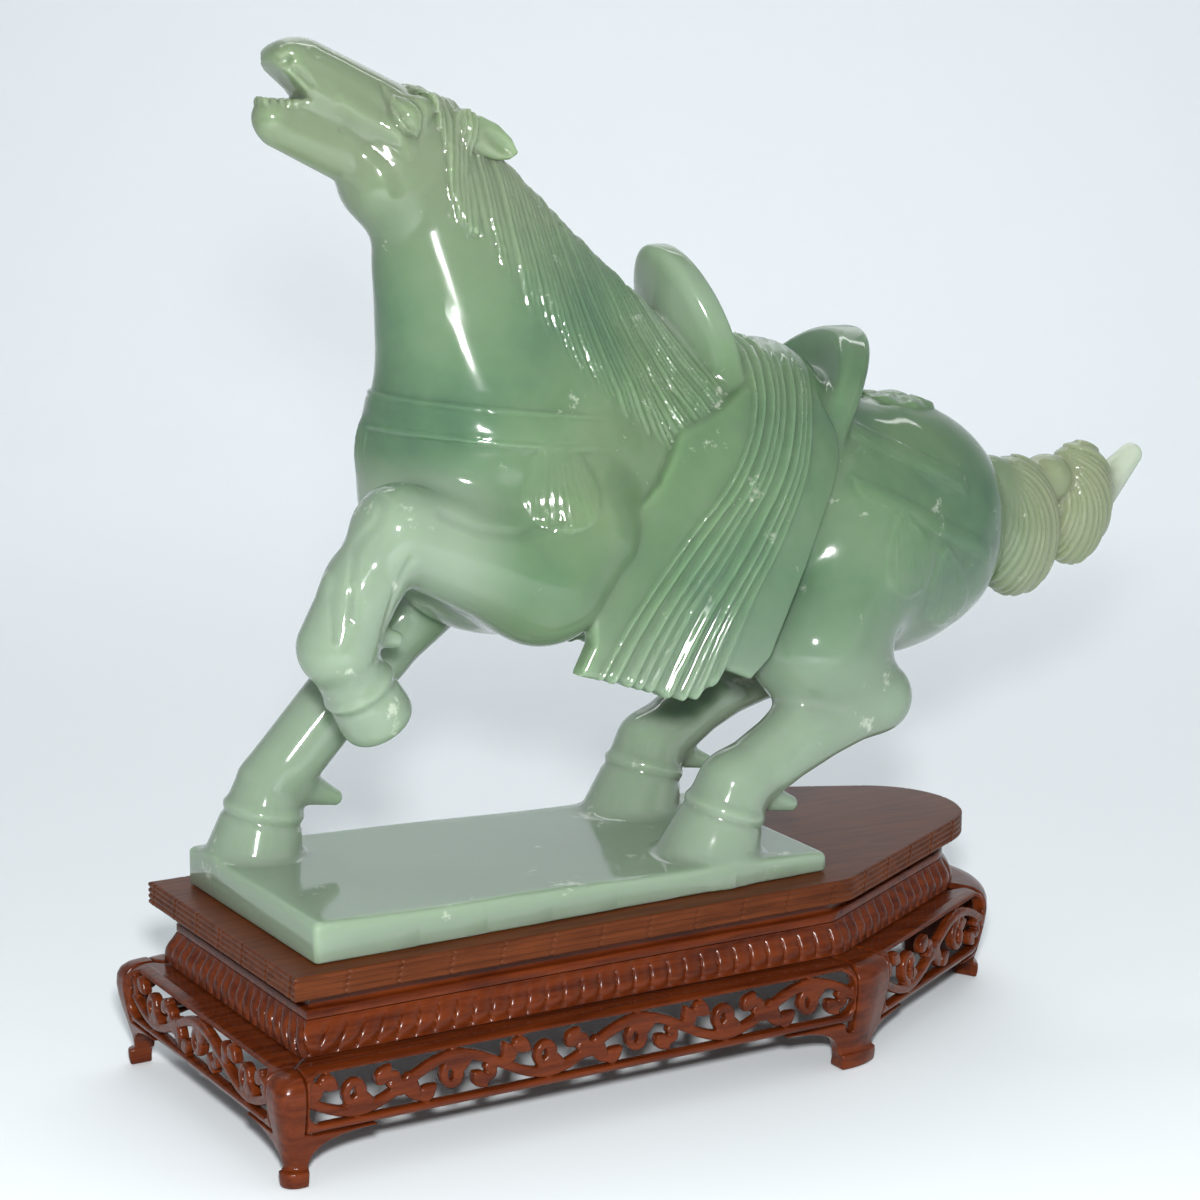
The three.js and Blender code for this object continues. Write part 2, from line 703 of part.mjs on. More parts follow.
  while (alive > targetTriangles && queue.items.length > 0) {
    const { u, v, to, stampU, stampV } = queue.pop();
    if (!vertexAlive[u] || !vertexAlive[v] || stamp[u] !== stampU || stamp[v] !== stampV) {
      continue;
    }
    const around = neighbours(u);
    const shared = neighbours(v).filter((other) => around.includes(other)).length;
    if (shared !== 2 || !staysFacing(u, v, to) || !staysFacing(v, u, to)) {
      continue;
    }
    for (const f of faces[v]) {
      const corners = [tri[3 * f], tri[3 * f + 1], tri[3 * f + 2]];
      if (corners.includes(u)) {
        faceAlive[f] = 0;
        alive -= 1;
        for (const corner of corners) {
          if (corner !== v) {
            faces[corner] = faces[corner].filter((g) => g !== f);
          }
        }
      } else {
        tri[3 * f + corners.indexOf(v)] = u;
        faces[u].push(f);
      }
    }
    faces[v] = [];
    vertexAlive[v] = 0;
    stamp[u] += 1;
    to.forEach((value, axis) => {
      p[3 * u + axis] = value;
    });
    for (let i = 0; i < QUADRIC_SIZE; i += 1) {
      quadrics[u * QUADRIC_SIZE + i] += quadrics[v * QUADRIC_SIZE + i];
    }
    for (const other of neighbours(u)) {
      queue.push(candidate(u, other));
    }
  }
  return keepAlive(p, tri, vertexAlive, faceAlive);
}

function keepAlive(positions, triangles, vertexAlive, faceAlive) {
  const renamed = new Int32Array(vertexAlive.length);
  const kept = [];
  vertexAlive.forEach((isAlive, vertex) => {
    if (isAlive) {
      renamed[vertex] = kept.length / 3;
      kept.push(positions[3 * vertex], positions[3 * vertex + 1], positions[3 * vertex + 2]);
    }
  });
  const index = [];
  faceAlive.forEach((isAlive, f) => {
    if (isAlive) {
      index.push(renamed[triangles[3 * f]], renamed[triangles[3 * f + 1]], renamed[triangles[3 * f + 2]]);
    }
  });
  return { positions: Float32Array.from(kept), triangles: Uint32Array.from(index) };
}

function geometryOf({ positions, triangles }) {
  const geometry = new THREE.BufferGeometry();
  geometry.setAttribute('position', new THREE.BufferAttribute(Float32Array.from(positions), 3));
  geometry.setIndex(new THREE.BufferAttribute(Uint32Array.from(triangles), 1));
  geometry.computeVertexNormals();
  return geometry;
}

// Solid work: closed meshes are joined and cut as manifolds

function solidOf({ positions, triangles }) {
  return new wasm.Manifold(new wasm.Mesh({
    numProp: 3,
    vertProperties: Float32Array.from(positions),
    triVerts: Uint32Array.from(triangles),
  }));
}

function geometryOfSolid(solid) {
  const mesh = solid.getMesh();
  return geometryOf({ positions: mesh.vertProperties, triangles: mesh.triVerts });
}

// Turns every face over if the mesh is inside out.
function facingOut(positions, triangles) {
  let volume = 0;
  for (let f = 0; f < triangles.length; f += 3) {
    const [a, b, c] = [0, 1, 2].map((i) => new THREE.Vector3().fromArray(positions, 3 * triangles[f + i]));
    volume += a.dot(b.cross(c));
  }
  if (volume < 0) {
    for (let f = 0; f < triangles.length; f += 3) {
      [triangles[f + 1], triangles[f + 2]] = [triangles[f + 2], triangles[f + 1]];
    }
  }
  return { positions, triangles };
}

// A mesh skinned over loops of equal length; the ends are capped, or the last loop meets the first.
function skin(loops, closed = false) {
  const count = loops[0].length;
  const positions = loops.flat(2);
  const triangles = [];
  for (let j = 0; j + (closed ? 0 : 1) < loops.length; j += 1) {
    const next = (j + 1) % loops.length;
    for (let i = 0; i < count; i += 1) {
      const k = (i + 1) % count;
      const [a, b, c, d] = [j * count + i, j * count + k, next * count + k, next * count + i];
      triangles.push(a, b, c, a, c, d);
    }
  }
  if (!closed) {
    const last = (loops.length - 1) * count;
    for (const [a, b, c] of capTriangles(loops[0])) {
      triangles.push(a, c, b);
    }
    for (const [a, b, c] of capTriangles(loops.at(-1))) {
      triangles.push(last + a, last + b, last + c);
    }
  }
  return facingOut(positions, triangles);
}

// Triangles over a flat loop of points, in the loop's own order.
function capTriangles(loop) {
  const points = loop.map((p) => new THREE.Vector3(...p));
  const normal = new THREE.Vector3();
  points.forEach((p, i) => {
    const q = points[(i + 1) % points.length];
    normal.x += (p.y - q.y) * (p.z + q.z);
    normal.y += (p.z - q.z) * (p.x + q.x);
    normal.z += (p.x - q.x) * (p.y + q.y);
  });
  normal.normalize();
  const across = points[1].clone().sub(points[0]).normalize();
  const along = normal.clone().cross(across);
  const flat = points.map((p) => new THREE.Vector2(p.dot(across), p.dot(along)));
  return THREE.ShapeUtils.triangulateShape(flat, []);
}

// The stand's plan: a five-sided board with a rounded nose

const BOARD_HALF = BOARD_WIDTH / 2;
const PLAN = [
  { at: [0, -BOARD_HALF], radius: BOARD_CORNER_RADIUS },
  { at: [BOARD_FRONT_LENGTH, -BOARD_HALF], radius: BOARD_BEND_RADIUS },
  { at: BOARD_POINT, radius: BOARD_NOSE_RADIUS },
  { at: [BOARD_BACK_LENGTH, BOARD_HALF], radius: BOARD_BEND_RADIUS },
  { at: [0, BOARD_HALF], radius: BOARD_CORNER_RADIUS },
];
const SIDES = PLAN.map(({ at: [x, y] }, i) => {
  const [nextX, nextY] = PLAN[(i + 1) % PLAN.length].at;
  const length = Math.hypot(nextX - x, nextY - y);
  const along = [(nextX - x) / length, (nextY - y) / length];
  return { start: [x, y], along, outward: [along[1], -along[0]], length };
});

// The angle the outline turns through at a corner.
function turnAt(corner) {
  const before = SIDES[(corner + SIDES.length - 1) % SIDES.length].along;
  const after = SIDES[corner % SIDES.length].along;
  return Math.acos(before[0] * after[0] + before[1] * after[1]);
}
const [FRONT, RIGHT_FRONT, RIGHT_BACK, BACK, LEFT] = [0, 1, 2, 3, 4];

// The corner of the plan after it is moved outward by `offset`.
function planCorner(i, offset) {
  const before = SIDES[(i + SIDES.length - 1) % SIDES.length];
  const after = SIDES[i];
  const cosine = before.outward[0] * after.outward[0] + before.outward[1] * after.outward[1];
  const scale = offset / (1 + cosine);
  return [
    PLAN[i].at[0] + scale * (before.outward[0] + after.outward[0]),
    PLAN[i].at[1] + scale * (before.outward[1] + after.outward[1]),
  ];
}

// Points round the plan; every offset gives the same number of points, so loops can be skinned.
function planLoop(offset, perSide, perCorner) {
  const arcs = PLAN.map(({ radius }, i) => {
    const before = SIDES[(i + SIDES.length - 1) % SIDES.length];
    const corner = planCorner(i, offset);
    if (perCorner[i] === 0) {
      return [corner];
    }
    const rounded = Math.max(radius + offset, 1);
    const turn = turnAt(i);
    const back = rounded * Math.tan(turn / 2);
    const middle = [
      corner[0] - before.along[0] * back - before.outward[0] * rounded,
      corner[1] - before.along[1] * back - before.outward[1] * rounded,
    ];
    const startAngle = Math.atan2(before.outward[1], before.outward[0]);
    return Array.from({ length: perCorner[i] + 1 }, (_, k) => {
      const angle = startAngle + turn * k / perCorner[i];
      return [middle[0] + rounded * Math.cos(angle), middle[1] + rounded * Math.sin(angle)];
    });
  });
  return arcs.flatMap((arc, i) => {
    const start = arc.at(-1);
    const end = arcs[(i + 1) % arcs.length][0];
    const between = Array.from({ length: perSide[i] - 1 }, (_, k) => {
      const t = (k + 1) / perSide[i];
      return [mix(start[0], end[0], t), mix(start[1], end[1], t)];
    });
    return [...arc, ...between];
  });
}

const PLAIN_SIDES = [1, 1, 1, 1, 1];
const PLAIN_CORNERS = [0, 2, 7, 2, 0];
const plainLoop = (offset, z) => planLoop(offset, PLAIN_SIDES, PLAIN_CORNERS).map(([x, y]) => [x, y, z]);

// Top board: its edge is reeded, like a bundle of canes

function boardGeometry() {
  const reed = BOARD_THICKNESS / REED_COUNT;
  const loops = [plainLoop(-REED_DEPTH, BOARD_TOP)];
  for (let i = 0; i < REED_COUNT; i += 1) {
    loops.push(plainLoop(0, BOARD_TOP - (i + 0.5) * reed));
    loops.push(plainLoop(-REED_DEPTH, BOARD_TOP - (i + 1) * reed));
  }
  return geometryOf(skin(loops));
}

// Shoulder: an inset waist over a sloping band of round ribs

const WAIST_TOP = BOARD_TOP - BOARD_THICKNESS - JOINT_GAP;
const FILLET_TOP = 44.2;
const FILLET_STEP = 2;
const ROUNDED_LENGTH = [16, 52, 62, 8, 0];
const RIBS_PER_SIDE = SIDES.map(({ length }, i) => {
  const trimmed = length - ROUNDED_LENGTH[i];
  const pitch = i === BACK || i === RIGHT_BACK ? 2 * RIB_PITCH : RIB_PITCH;
  return Math.round(trimmed / pitch);
});
const RIBS_PER_CORNER = [0, 1, 8, 1, 0];

function ribbedLoop(offset, depth, z) {
  const perSide = RIBS_PER_SIDE.map((count) => 2 * count);
  const perCorner = RIBS_PER_CORNER.map((count) => 2 * count);
  const crests = planLoop(offset, perSide, perCorner);
  const valleys = planLoop(offset - depth, perSide, perCorner);
  return crests.map((crest, i) => [...(i % 2 === 1 ? crest : valleys[i]), z]);
}

function waistGeometry() {
  const bottom = SHOULDER_TOP + JOINT_GAP;
  return geometryOf(skin([
    plainLoop(-WAIST_INSET, WAIST_TOP),
    plainLoop(-WAIST_INSET, FILLET_TOP),
    plainLoop(-WAIST_INSET + FILLET_STEP, FILLET_TOP - 0.4),
    plainLoop(-WAIST_INSET + FILLET_STEP, bottom),
    plainLoop(-WAIST_INSET - FRAME_WALL, bottom),
    plainLoop(-WAIST_INSET - FRAME_WALL, WAIST_TOP),
  ], true));
}

function shoulderGeometry() {
  const middle = (SHOULDER_TOP + SHOULDER_FOOT) / 2;
  const foot = APRON_TOP + JOINT_GAP;
  return geometryOf(skin([
    ribbedLoop(-WAIST_INSET + FILLET_STEP, 0, SHOULDER_TOP),
    ribbedLoop((-WAIST_INSET - SHOULDER_INSET) / 2 + RIB_BULGE, RIB_DEPTH, middle),
    ribbedLoop(-SHOULDER_INSET, RIB_DEPTH, foot),
    ribbedLoop(-WAIST_INSET - FRAME_WALL, 0, foot),
  ], true));
}

// Apron: a swelling frame on five feet, pierced with scrolling vines

const APRON_PROFILE = [
  [APRON_TOP, -APRON_LEDGE], [APRON_TOP - 0.2, 3.8], [29.4, 7.7], [24, 8.6], [12, 6.2],
  [FOOT_NECK, 5], [FOOT_PAD, 6.7], [0, 6.1], [0, -0.4], [12, 2.4], [24, 4.4], [29.6, 3.2],
  [29.8, -APRON_LEDGE],
];

function apronSolid() {
  return solidOf(skin(APRON_PROFILE.map(([z, offset]) => plainLoop(offset, z)), true));
}

// A point beside one side of the stand: u runs along the side, w outward from it.
function besideSide(side, u, w, z) {
  const { start, along, outward } = SIDES[side];
  return [start[0] + along[0] * u + outward[0] * w, start[1] + along[1] * u + outward[1] * w, z];
}

// A straight-sided cutter or bar on one side of the stand, from an outline of u and height.
function sidePrism(side, outline, inner, outer) {
  const placed = (w) => outline.map(([u, z]) => besideSide(side, u, w, z));
  return solidOf(skin([placed(inner), placed(outer)]));
}

// An upright block beside one side of the stand, from an outline of u and w.
function uprightPrism(side, outline, low, high) {
  const placed = (z) => outline.map(([u, w]) => besideSide(side, u, w, z));
  return solidOf(skin([placed(low), placed(high)]));
}

const rectangle = (u0, v0, u1, v1) => [[u0, v0], [u1, v0], [u1, v1], [u0, v1]];

function joined(solids) {
  return solids.reduce((sum, solid) => sum.add(solid));
}

// How far along its two sides the nose is round, and how far the pieces beside it reach into that
const NOSE_RUN = BOARD_NOSE_RADIUS * Math.tan(turnAt(RIGHT_BACK) / 2);
const FRONT_PANEL_INTO_NOSE = 9.5;
const BACK_PANEL_INTO_NOSE = 1.5;
const NOSE_BRACKET_SPACE = 15.5;
const NOSE_FOOT_RUN = NOSE_RUN - NOSE_BRACKET_SPACE;
const RIGHT_FRONT_END = SIDES[RIGHT_FRONT].length - NOSE_RUN + FRONT_PANEL_INTO_NOSE;
const RIGHT_BACK_START = NOSE_RUN - BACK_PANEL_INTO_NOSE;

// Each panel runs between two legs; `low` is the level of its bottom bar's upper face
const PANELS = [
  { name: 'front', side: FRONT, from: -0.5, to: SIDES[FRONT].length - 2.5, low: 17, units: 6 },
  { name: 'right_front', side: RIGHT_FRONT, from: 10, to: RIGHT_FRONT_END, low: 14, units: 2 },
  {
    name: 'right_back', side: RIGHT_BACK, from: RIGHT_BACK_START, to: SIDES[RIGHT_BACK].length - 10, low: 14, units: 1,
  },
  { name: 'back', side: BACK, from: 4, to: SIDES[BACK].length - 1, low: 17, units: 4 },
  { name: 'left', side: LEFT, from: 1, to: SIDES[LEFT].length - 1, low: 17, units: 3 },
];

// Each foot runs from a place on the side before its corner to a place on the side after it
const LEGS = [
  { name: 'front_left', footFrom: SIDES[LEFT].length + 1.6, footTo: 0.5 },
  { name: 'front_right', footFrom: SIDES[FRONT].length - 6, footTo: 5.5 },
  { name: 'nose', footFrom: SIDES[RIGHT_FRONT].length - NOSE_FOOT_RUN, footTo: NOSE_FOOT_RUN },
  { name: 'back_right', footFrom: SIDES[RIGHT_BACK].length - 6, footTo: 6.5 },
  { name: 'back_left', footFrom: SIDES[BACK].length - 0.5, footTo: -1.6 },
];

const VINE_HALF_WIDTH = 1.25;
const STEM_POINTS = 5;
const CURL_POINTS = 6;
const VINE_INNER = 3.75;
const VINE_OUTER = 7.05;
const STEM_OVERLAP = 0.04;
const VINE_BEDDING = 0.5;
const APRON_REACH = 20;
const CORNER_REACH = 90;
const CORNER_DEPTH = 60;
const BRACKET_CURVE = [[0, 0], [0.1, 0.42], [0.34, 0.74], [1, 0.94]];

// A band of even width along a line of points.
function ribbon(points, halfWidth) {
  const sides = points.map((p, i) => {
    const before = points[Math.max(i - 1, 0)];
    const after = points[Math.min(i + 1, points.length - 1)];
    const length = Math.hypot(after[0] - before[0], after[1] - before[1]);
    const normal = [-(after[1] - before[1]) / length, (after[0] - before[0]) / length];
    return [1, -1].map((sign) => [p[0] + sign * halfWidth * normal[0], p[1] + sign * halfWidth * normal[1]]);
  });
  return [...sides.map(([left]) => left), ...sides.map(([, right]) => right).reverse()];
}

// One repeat of the vine: a wave of stem, and a curl that grows from the stem into its bend.
function vineUnit(start, width, low, high, sign) {
  const middle = (low + high) / 2;
  const swing = (high - low) / 2 - VINE_HALF_WIDTH + 0.3;
  const stem = Array.from({ length: STEM_POINTS }, (_, i) => {
    const t = mix(-STEM_OVERLAP, 1 + STEM_OVERLAP, i / (STEM_POINTS - 1));
    return [start + width * t, middle - sign * swing * Math.sin(Math.PI * t)];
  });
  const curl = Array.from({ length: CURL_POINTS }, (_, i) => {
    const t = i / (CURL_POINTS - 1);
    const angle = Math.PI * (1.45 - 1.75 * t);
    const radius = swing * mix(1, 0.36, t);
    return [
      start + width * 0.52 + radius * Math.cos(angle),
      middle + sign * (radius * Math.sin(angle) - 0.8),
    ];
  });
  return [ribbon(stem, VINE_HALF_WIDTH), ribbon(curl, VINE_HALF_WIDTH)];
}

function panelSolid({ side, from, to, low, units }, apron) {
  const depth = APRON_LEDGE + 3;
  const mitre = (corner) => Math.min(depth * Math.tan(turnAt(corner) / 2), (to - from) / 3);
  const blank = apron.intersect(uprightPrism(side, [
    [from, 0], [from, APRON_REACH], [to, APRON_REACH], [to, 0],
    [to - mitre(side + 1), -depth], [from + mitre(side), -depth],
  ], low - APRON_BAR, BOARD_TOP));
  const start = from + WINDOW_BORDER;
  const end = to - WINDOW_BORDER;
  const frame = blank.subtract(sidePrism(side, rectangle(start, low, end, WINDOW_TOP), -depth, APRON_REACH));
  const width = (end - start) / units;
  const vines = Array.from({ length: units }, (_, i) => (
    vineUnit(start + i * width, width, low, WINDOW_TOP, i % 2 === 0 ? 1 : -1)
  )).flat();
  const grille = joined(vines.map((outline) => sidePrism(side, outline, VINE_INNER, VINE_OUTER)));
  const b = VINE_BEDDING;
  const field = sidePrism(side, rectangle(start - b, low - b, end + b, WINDOW_TOP + b), 0, APRON_REACH);
  return frame.add(grille.intersect(field));
}

// The part of the apron between two cuts, one on each side of a corner.
function cornerBlock(apron, before, beforeEdge, after, afterEdge, low, high) {
  const beforeCut = rectangle(beforeEdge, low, beforeEdge + CORNER_REACH, high);
  const afterCut = rectangle(afterEdge - CORNER_REACH, low, afterEdge, high);
  return apron
    .intersect(sidePrism(before, beforeCut, -CORNER_DEPTH, APRON_REACH))
    .intersect(sidePrism(after, afterCut, -CORNER_DEPTH, APRON_REACH));
}

// The curved bracket between a leg's foot and the bottom bar of a panel, as an outline on one side.
function bracketOutline(edge, sign, top) {
  const curve = BRACKET_CURVE.map(([run, rise]) => (
    [edge + sign * run * BRACKET_RUN, mix(FOOT_NECK, top, rise)]
  ));
  return [[edge - sign, top], [edge - sign, FOOT_NECK], ...curve, [edge + sign * BRACKET_RUN, top]];
}

// A leg is what is left of the apron round a corner, with a bracket towards each panel.
function legSolid(corner, apron) {
  const before = PANELS[(corner + PANELS.length - 1) % PANELS.length];
  const after = PANELS[corner];
  const { footFrom, footTo } = LEGS[corner];
  const underBefore = before.low - APRON_BAR - JOINT_GAP;
  const underAfter = after.low - APRON_BAR - JOINT_GAP;
  const under = Math.min(underBefore, underAfter);
  const post = cornerBlock(
    apron, before.side, before.to + JOINT_GAP, after.side, after.from - JOINT_GAP, under - 0.5, BOARD_TOP,
  );
  const foot = cornerBlock(apron, before.side, footFrom, after.side, footTo, -1, under);
  const roundedIn = -PLAN[corner].radius / 2;
  const brackets = joined([
    sidePrism(before.side, bracketOutline(footFrom, -1, underBefore), roundedIn, APRON_REACH),
    sidePrism(after.side, bracketOutline(footTo, 1, underAfter), roundedIn, APRON_REACH),
  ]);
  return post.add(foot).add(apron.intersect(brackets));
}

// Materials

const JADE = { color: 0x86a982, roughness: 0.2 };
const BOARD_WOOD = { color: 0x6b3a22, roughness: 0.4 };
const STAND_WOOD = { color: 0x8a3a16, roughness: 0.35 };

// Assembly

const group = new THREE.Group();

function addPiece(name, geometry, { color, roughness }) {
  const material = new THREE.MeshStandardMaterial({ color, roughness, metalness: 0 });
  const mesh = new THREE.Mesh(geometry, material);
  mesh.name = name;
  group.add(mesh);
}

function horseSolid() {
  const body = polygonise(stone, ...STONE_BOUNDS, GRID_STEP);
  const drape = polygonise(cloth, ...CLOTH_BOUNDS, CLOTH_GRID_STEP);
  return solidOf(thin(body, BODY_TRIANGLES)).add(solidOf(thin(drape, CLOTH_TRIANGLES)));
}

addPiece('jade_horse', geometryOfSolid(horseSolid()), JADE);
addPiece('stand_top_board', boardGeometry(), BOARD_WOOD);
addPiece('stand_waist', waistGeometry(), STAND_WOOD);
addPiece('stand_shoulder', shoulderGeometry(), STAND_WOOD);

const apron = apronSolid();
PANELS.forEach((panel) => {
  addPiece(`stand_panel_${panel.name}`, geometryOfSolid(panelSolid(panel, apron)), STAND_WOOD);
});
LEGS.forEach(({ name }, corner) => {
  addPiece(`stand_leg_${name}`, geometryOfSolid(legSolid(corner, apron)), STAND_WOOD);
});

// The origin goes under the middle of the object, on the floor.
const box = new THREE.Box3().setFromObject(group);
const middle = box.getCenter(new THREE.Vector3());
group.position.set(-middle.x, -middle.y, -box.min.z);

export default group;
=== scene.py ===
"""A jade horse on its slab, standing on a carved wooden stand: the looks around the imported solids.

The forms are worked out as distance fields in millimetres, laid out from the stand: x from its square
end, y from its centre line, z from the floor. The horse faces -X and its left side faces -Y.
"""

from collections import namedtuple
from math import acos, atan2, cos, hypot, pi, radians, sin, tan

import bmesh
import bpy
import numpy as np
from mathutils import Matrix, Vector


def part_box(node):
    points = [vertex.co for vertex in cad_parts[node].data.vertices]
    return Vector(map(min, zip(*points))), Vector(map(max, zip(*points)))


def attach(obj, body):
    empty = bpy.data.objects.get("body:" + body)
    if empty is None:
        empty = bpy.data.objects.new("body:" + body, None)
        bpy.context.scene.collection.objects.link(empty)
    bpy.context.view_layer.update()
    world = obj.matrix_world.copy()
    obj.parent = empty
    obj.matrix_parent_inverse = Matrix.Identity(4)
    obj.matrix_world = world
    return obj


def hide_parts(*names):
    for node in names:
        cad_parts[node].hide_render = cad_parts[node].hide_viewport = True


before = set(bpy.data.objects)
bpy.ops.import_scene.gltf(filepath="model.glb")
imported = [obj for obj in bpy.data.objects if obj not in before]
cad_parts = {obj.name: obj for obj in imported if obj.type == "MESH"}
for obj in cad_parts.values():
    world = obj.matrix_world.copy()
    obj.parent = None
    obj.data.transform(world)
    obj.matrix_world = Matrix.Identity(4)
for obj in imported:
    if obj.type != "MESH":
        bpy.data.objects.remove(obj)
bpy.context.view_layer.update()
MM = 0.001

# Driving sizes of the stand, in millimetres

BOARD_WIDTH = 100.0
BOARD_HALF = BOARD_WIDTH / 2
BOARD_TOP = 55.3
BOARD_THICKNESS = 6.7
REED_COUNT = 4
JOINT_GAP = 0.3

SLAB_TOP_LEFT = 66.8
SLAB_TOP_RIGHT = 61.4
SLAB_LEFT = 9.0
SLAB_RIGHT = 175.0
SLAB_HALF_WIDTH = 43.0
SLAB_RIGHT_HALF_WIDTH = 39.0
SLAB_BOTTOM = BOARD_TOP + JOINT_GAP

# The row frame's place of the stand's own zero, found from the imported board
BOARD_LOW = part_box("stand_top_board")[0] / MM
ORIGIN = np.array([BOARD_LOW.x, BOARD_LOW.y + BOARD_HALF, 0.0])

# Small tools for fields: x, y and z are arrays


FAR_AWAY = 1e6


def mix(a, b, t):
    return a + (b - a) * t


def smoothstep(low, high, value):
    t = np.clip((value - low) / (high - low), 0, 1)
    return t * t * (3 - 2 * t)


def length(*parts):
    return np.sqrt(sum(part * part for part in parts))


def ball(x, y, z, centre, radii, pitch=0.0):
    """An ellipsoid, turned by `pitch` degrees in the side view, nose end up when positive."""
    dx, dy, dz = x - centre[0], y - centre[1], z - centre[2]
    if pitch:
        c, s = cos(radians(pitch)), sin(radians(pitch))
        dx, dz = c * dx - s * dz, s * dx + c * dz
    rx, ry, rz = radii
    scaled = length(dx / rx, dy / ry, dz / rz)
    slope = length(dx / rx**2, dy / ry**2, dz / rz**2)
    return np.where(scaled < 1e-4, -min(radii), scaled * (scaled - 1) / (slope + 1e-9))


def rod(x, y, z, a, ra, b, rb, flat=1.0):
    """A rod whose radius changes from ra at a to rb at b; `flat` scales its thickness across."""
    ax, ay, az = a
    bx, by, bz = b[0] - ax, b[1] - ay, b[2] - az
    px, py, pz = x - ax, y - ay, z - az
    t = np.clip((px * bx + py * by + pz * bz) / (bx * bx + by * by + bz * bz), 0, 1)
    return length(px - t * bx, (py - t * by) / flat, pz - t * bz) - mix(ra, rb, t)


def join(a, b, k):
    """A smooth union: the seam is rounded over the distance k."""
    h = np.maximum(k - np.abs(a - b), 0) / k
    return np.minimum(a, b) - h * h * k / 4


def built(x, y, z, forms):
    """Balls and rods joined in turn: the kind of each, the rounding of its seam, then its own values."""
    d = None
    for kind, seam, *values in forms:
        form = kind(x, y, z, *values)
        d = form if d is None else join(d, form, seam)
    return d


def trim(a, b, k):
    """A smooth intersection."""
    return -join(-a, -b, k)


def segment_square(u, v, start, end):
    """The square of the distance to the straight line between two (u, v) points."""
    ax, ay = start
    ex, ey = end[0] - ax, end[1] - ay
    t = np.clip(((u - ax) * ex + (v - ay) * ey) / (ex * ex + ey * ey), 0, 1)
    return (u - ax - t * ex) ** 2 + (v - ay - t * ey) ** 2


def line_distance(u, v, points):
    """The distance to an open line of (u, v) points."""
    best = np.full(u.shape, FAR_AWAY, np.float32)
    for start, end in zip(points[:-1], points[1:]):
        best = np.minimum(best, segment_square(u, v, start, end))
    return np.sqrt(best)


def outline_distance(u, v, points):
    """The signed distance to a closed outline of (u, v) points, negative inside."""
    inside = np.zeros(u.shape, bool)
    for (ax, ay), (bx, by) in zip(points, points[1:] + points[:1]):
        if ay != by:
            inside ^= ((ay > v) != (by > v)) & (u < ax + (v - ay) / (by - ay) * (bx - ax))
    return np.where(inside, -1, 1) * line_distance(u, v, points + points[:1])


def curve_through(stations):
    """A smooth line through a few (position, value) stations, sampled once and read back evenly."""
    at, value = np.array(stations, float).T
    slope = np.gradient(value, at)
    fine = np.linspace(at[0], at[-1], 200)
    i = np.clip(np.searchsorted(at, fine) - 1, 0, len(at) - 2)
    span = at[i + 1] - at[i]
    t = (fine - at[i]) / span
    line = mix(value[i], value[i + 1], t * t * (3 - 2 * t))
    line += span * t * (1 - t) * ((1 - t) * slope[i] - t * slope[i + 1])
    return lambda position: np.interp(position, fine, line).astype(np.float32)


def bump_lines(across, pitch, sharp=1.0):
    """Ridges along a coordinate: 1 on each crest, 0 in each groove."""
    return np.abs(np.sin(pi * across / pitch)) ** sharp


def bell(value, centre, width):
    """A bell-shaped rise: 1 at the centre, fading over the width."""
    return np.exp(-(((value - centre) / width) ** 2))


def strands(across, pitch):
    """Fine ridges of uneven width and height, as hair is cut by hand."""
    shifted = across + 0.18 * pitch * np.sin(1.7 * across / pitch)
    return bump_lines(shifted, pitch) * (0.85 + 0.15 * np.sin(2.3 * across / pitch + 1))


def wander(x, y, z, size, seed=0.0):
    """A slow, smooth waviness between -1 and 1, for strands and surfaces worked by hand."""
    k = 2 * pi / size
    a = np.sin(k * (x + 0.7 * z) + seed) + np.sin(k * (0.8 * y - 0.6 * z) * 1.3 + 2 * seed + 1)
    return (a + np.sin(k * (0.9 * z + 0.4 * x - 0.5 * y) * 0.8 + 3 * seed + 2)) / 3


# The trunk's chest, barrel and rump, and the neck's throat side and crest

TRUNK = (
    (ball, 0, (90, 0, 171), (43, 33, 43)),
    (ball, 14, (150, 0, 166), (62, 34, 40)),
    (ball, 12, (216, 0, 148), (45, 35, 39.5)),
)
NECK = (
    (rod, 0, (66, 0, 256), 17, (92, 0, 192), 41, 0.78),
    (rod, 10, (80, 0, 249), 11, (132, 0, 200), 15, 0.8),
)

# Head, thrown up, mouth open: skull, muzzle, nostril wing, lower jaw, lower lip, cheek, throat and brow.
# y counts from the middle on both sides.

HEAD = (
    (rod, 0, (30, 0, 284), 9.6, (63, 0, 265), 13, 0.88),
    (ball, 4, (25.5, 0, 287.5), (6, 7.5, 5.5)),
    (ball, 2.5, (24.4, 4.9, 287.4), (4.6, 3.5, 4.4), -40),
    (rod, 5, (23, 0, 271.5), 6.4, (46, 0, 263.5), 9.6, 0.85),
    (ball, 2, (19.9, 0, 273.4), (4.2, 5.6, 4.8)),
    (ball, 4, (55.5, 5.5, 257), (13.3, 7.8, 12.5)),
    (ball, 4, (54.5, 0, 255), (13, 9, 12.5)),
    (ball, 3, (56, 9, 273), (8, 4.5, 5), -28),
)
MOUTH = [(29, 278.2), (10, 277), (10, 296), (18.5, 288.5)]
NOSTRIL = ((21.4, 8.1, 287.8), (2.6, 2.0, 1.5), -35)
NOSTRIL_CREASES = (
    ((17.2, 290.6), (21.5, 287.6), (25.8, 284.3), (28.6, 281.8)),
    ((16.6, 286.6), (20.5, 284.6), (24.5, 281.6), (27.0, 279.6)),
)
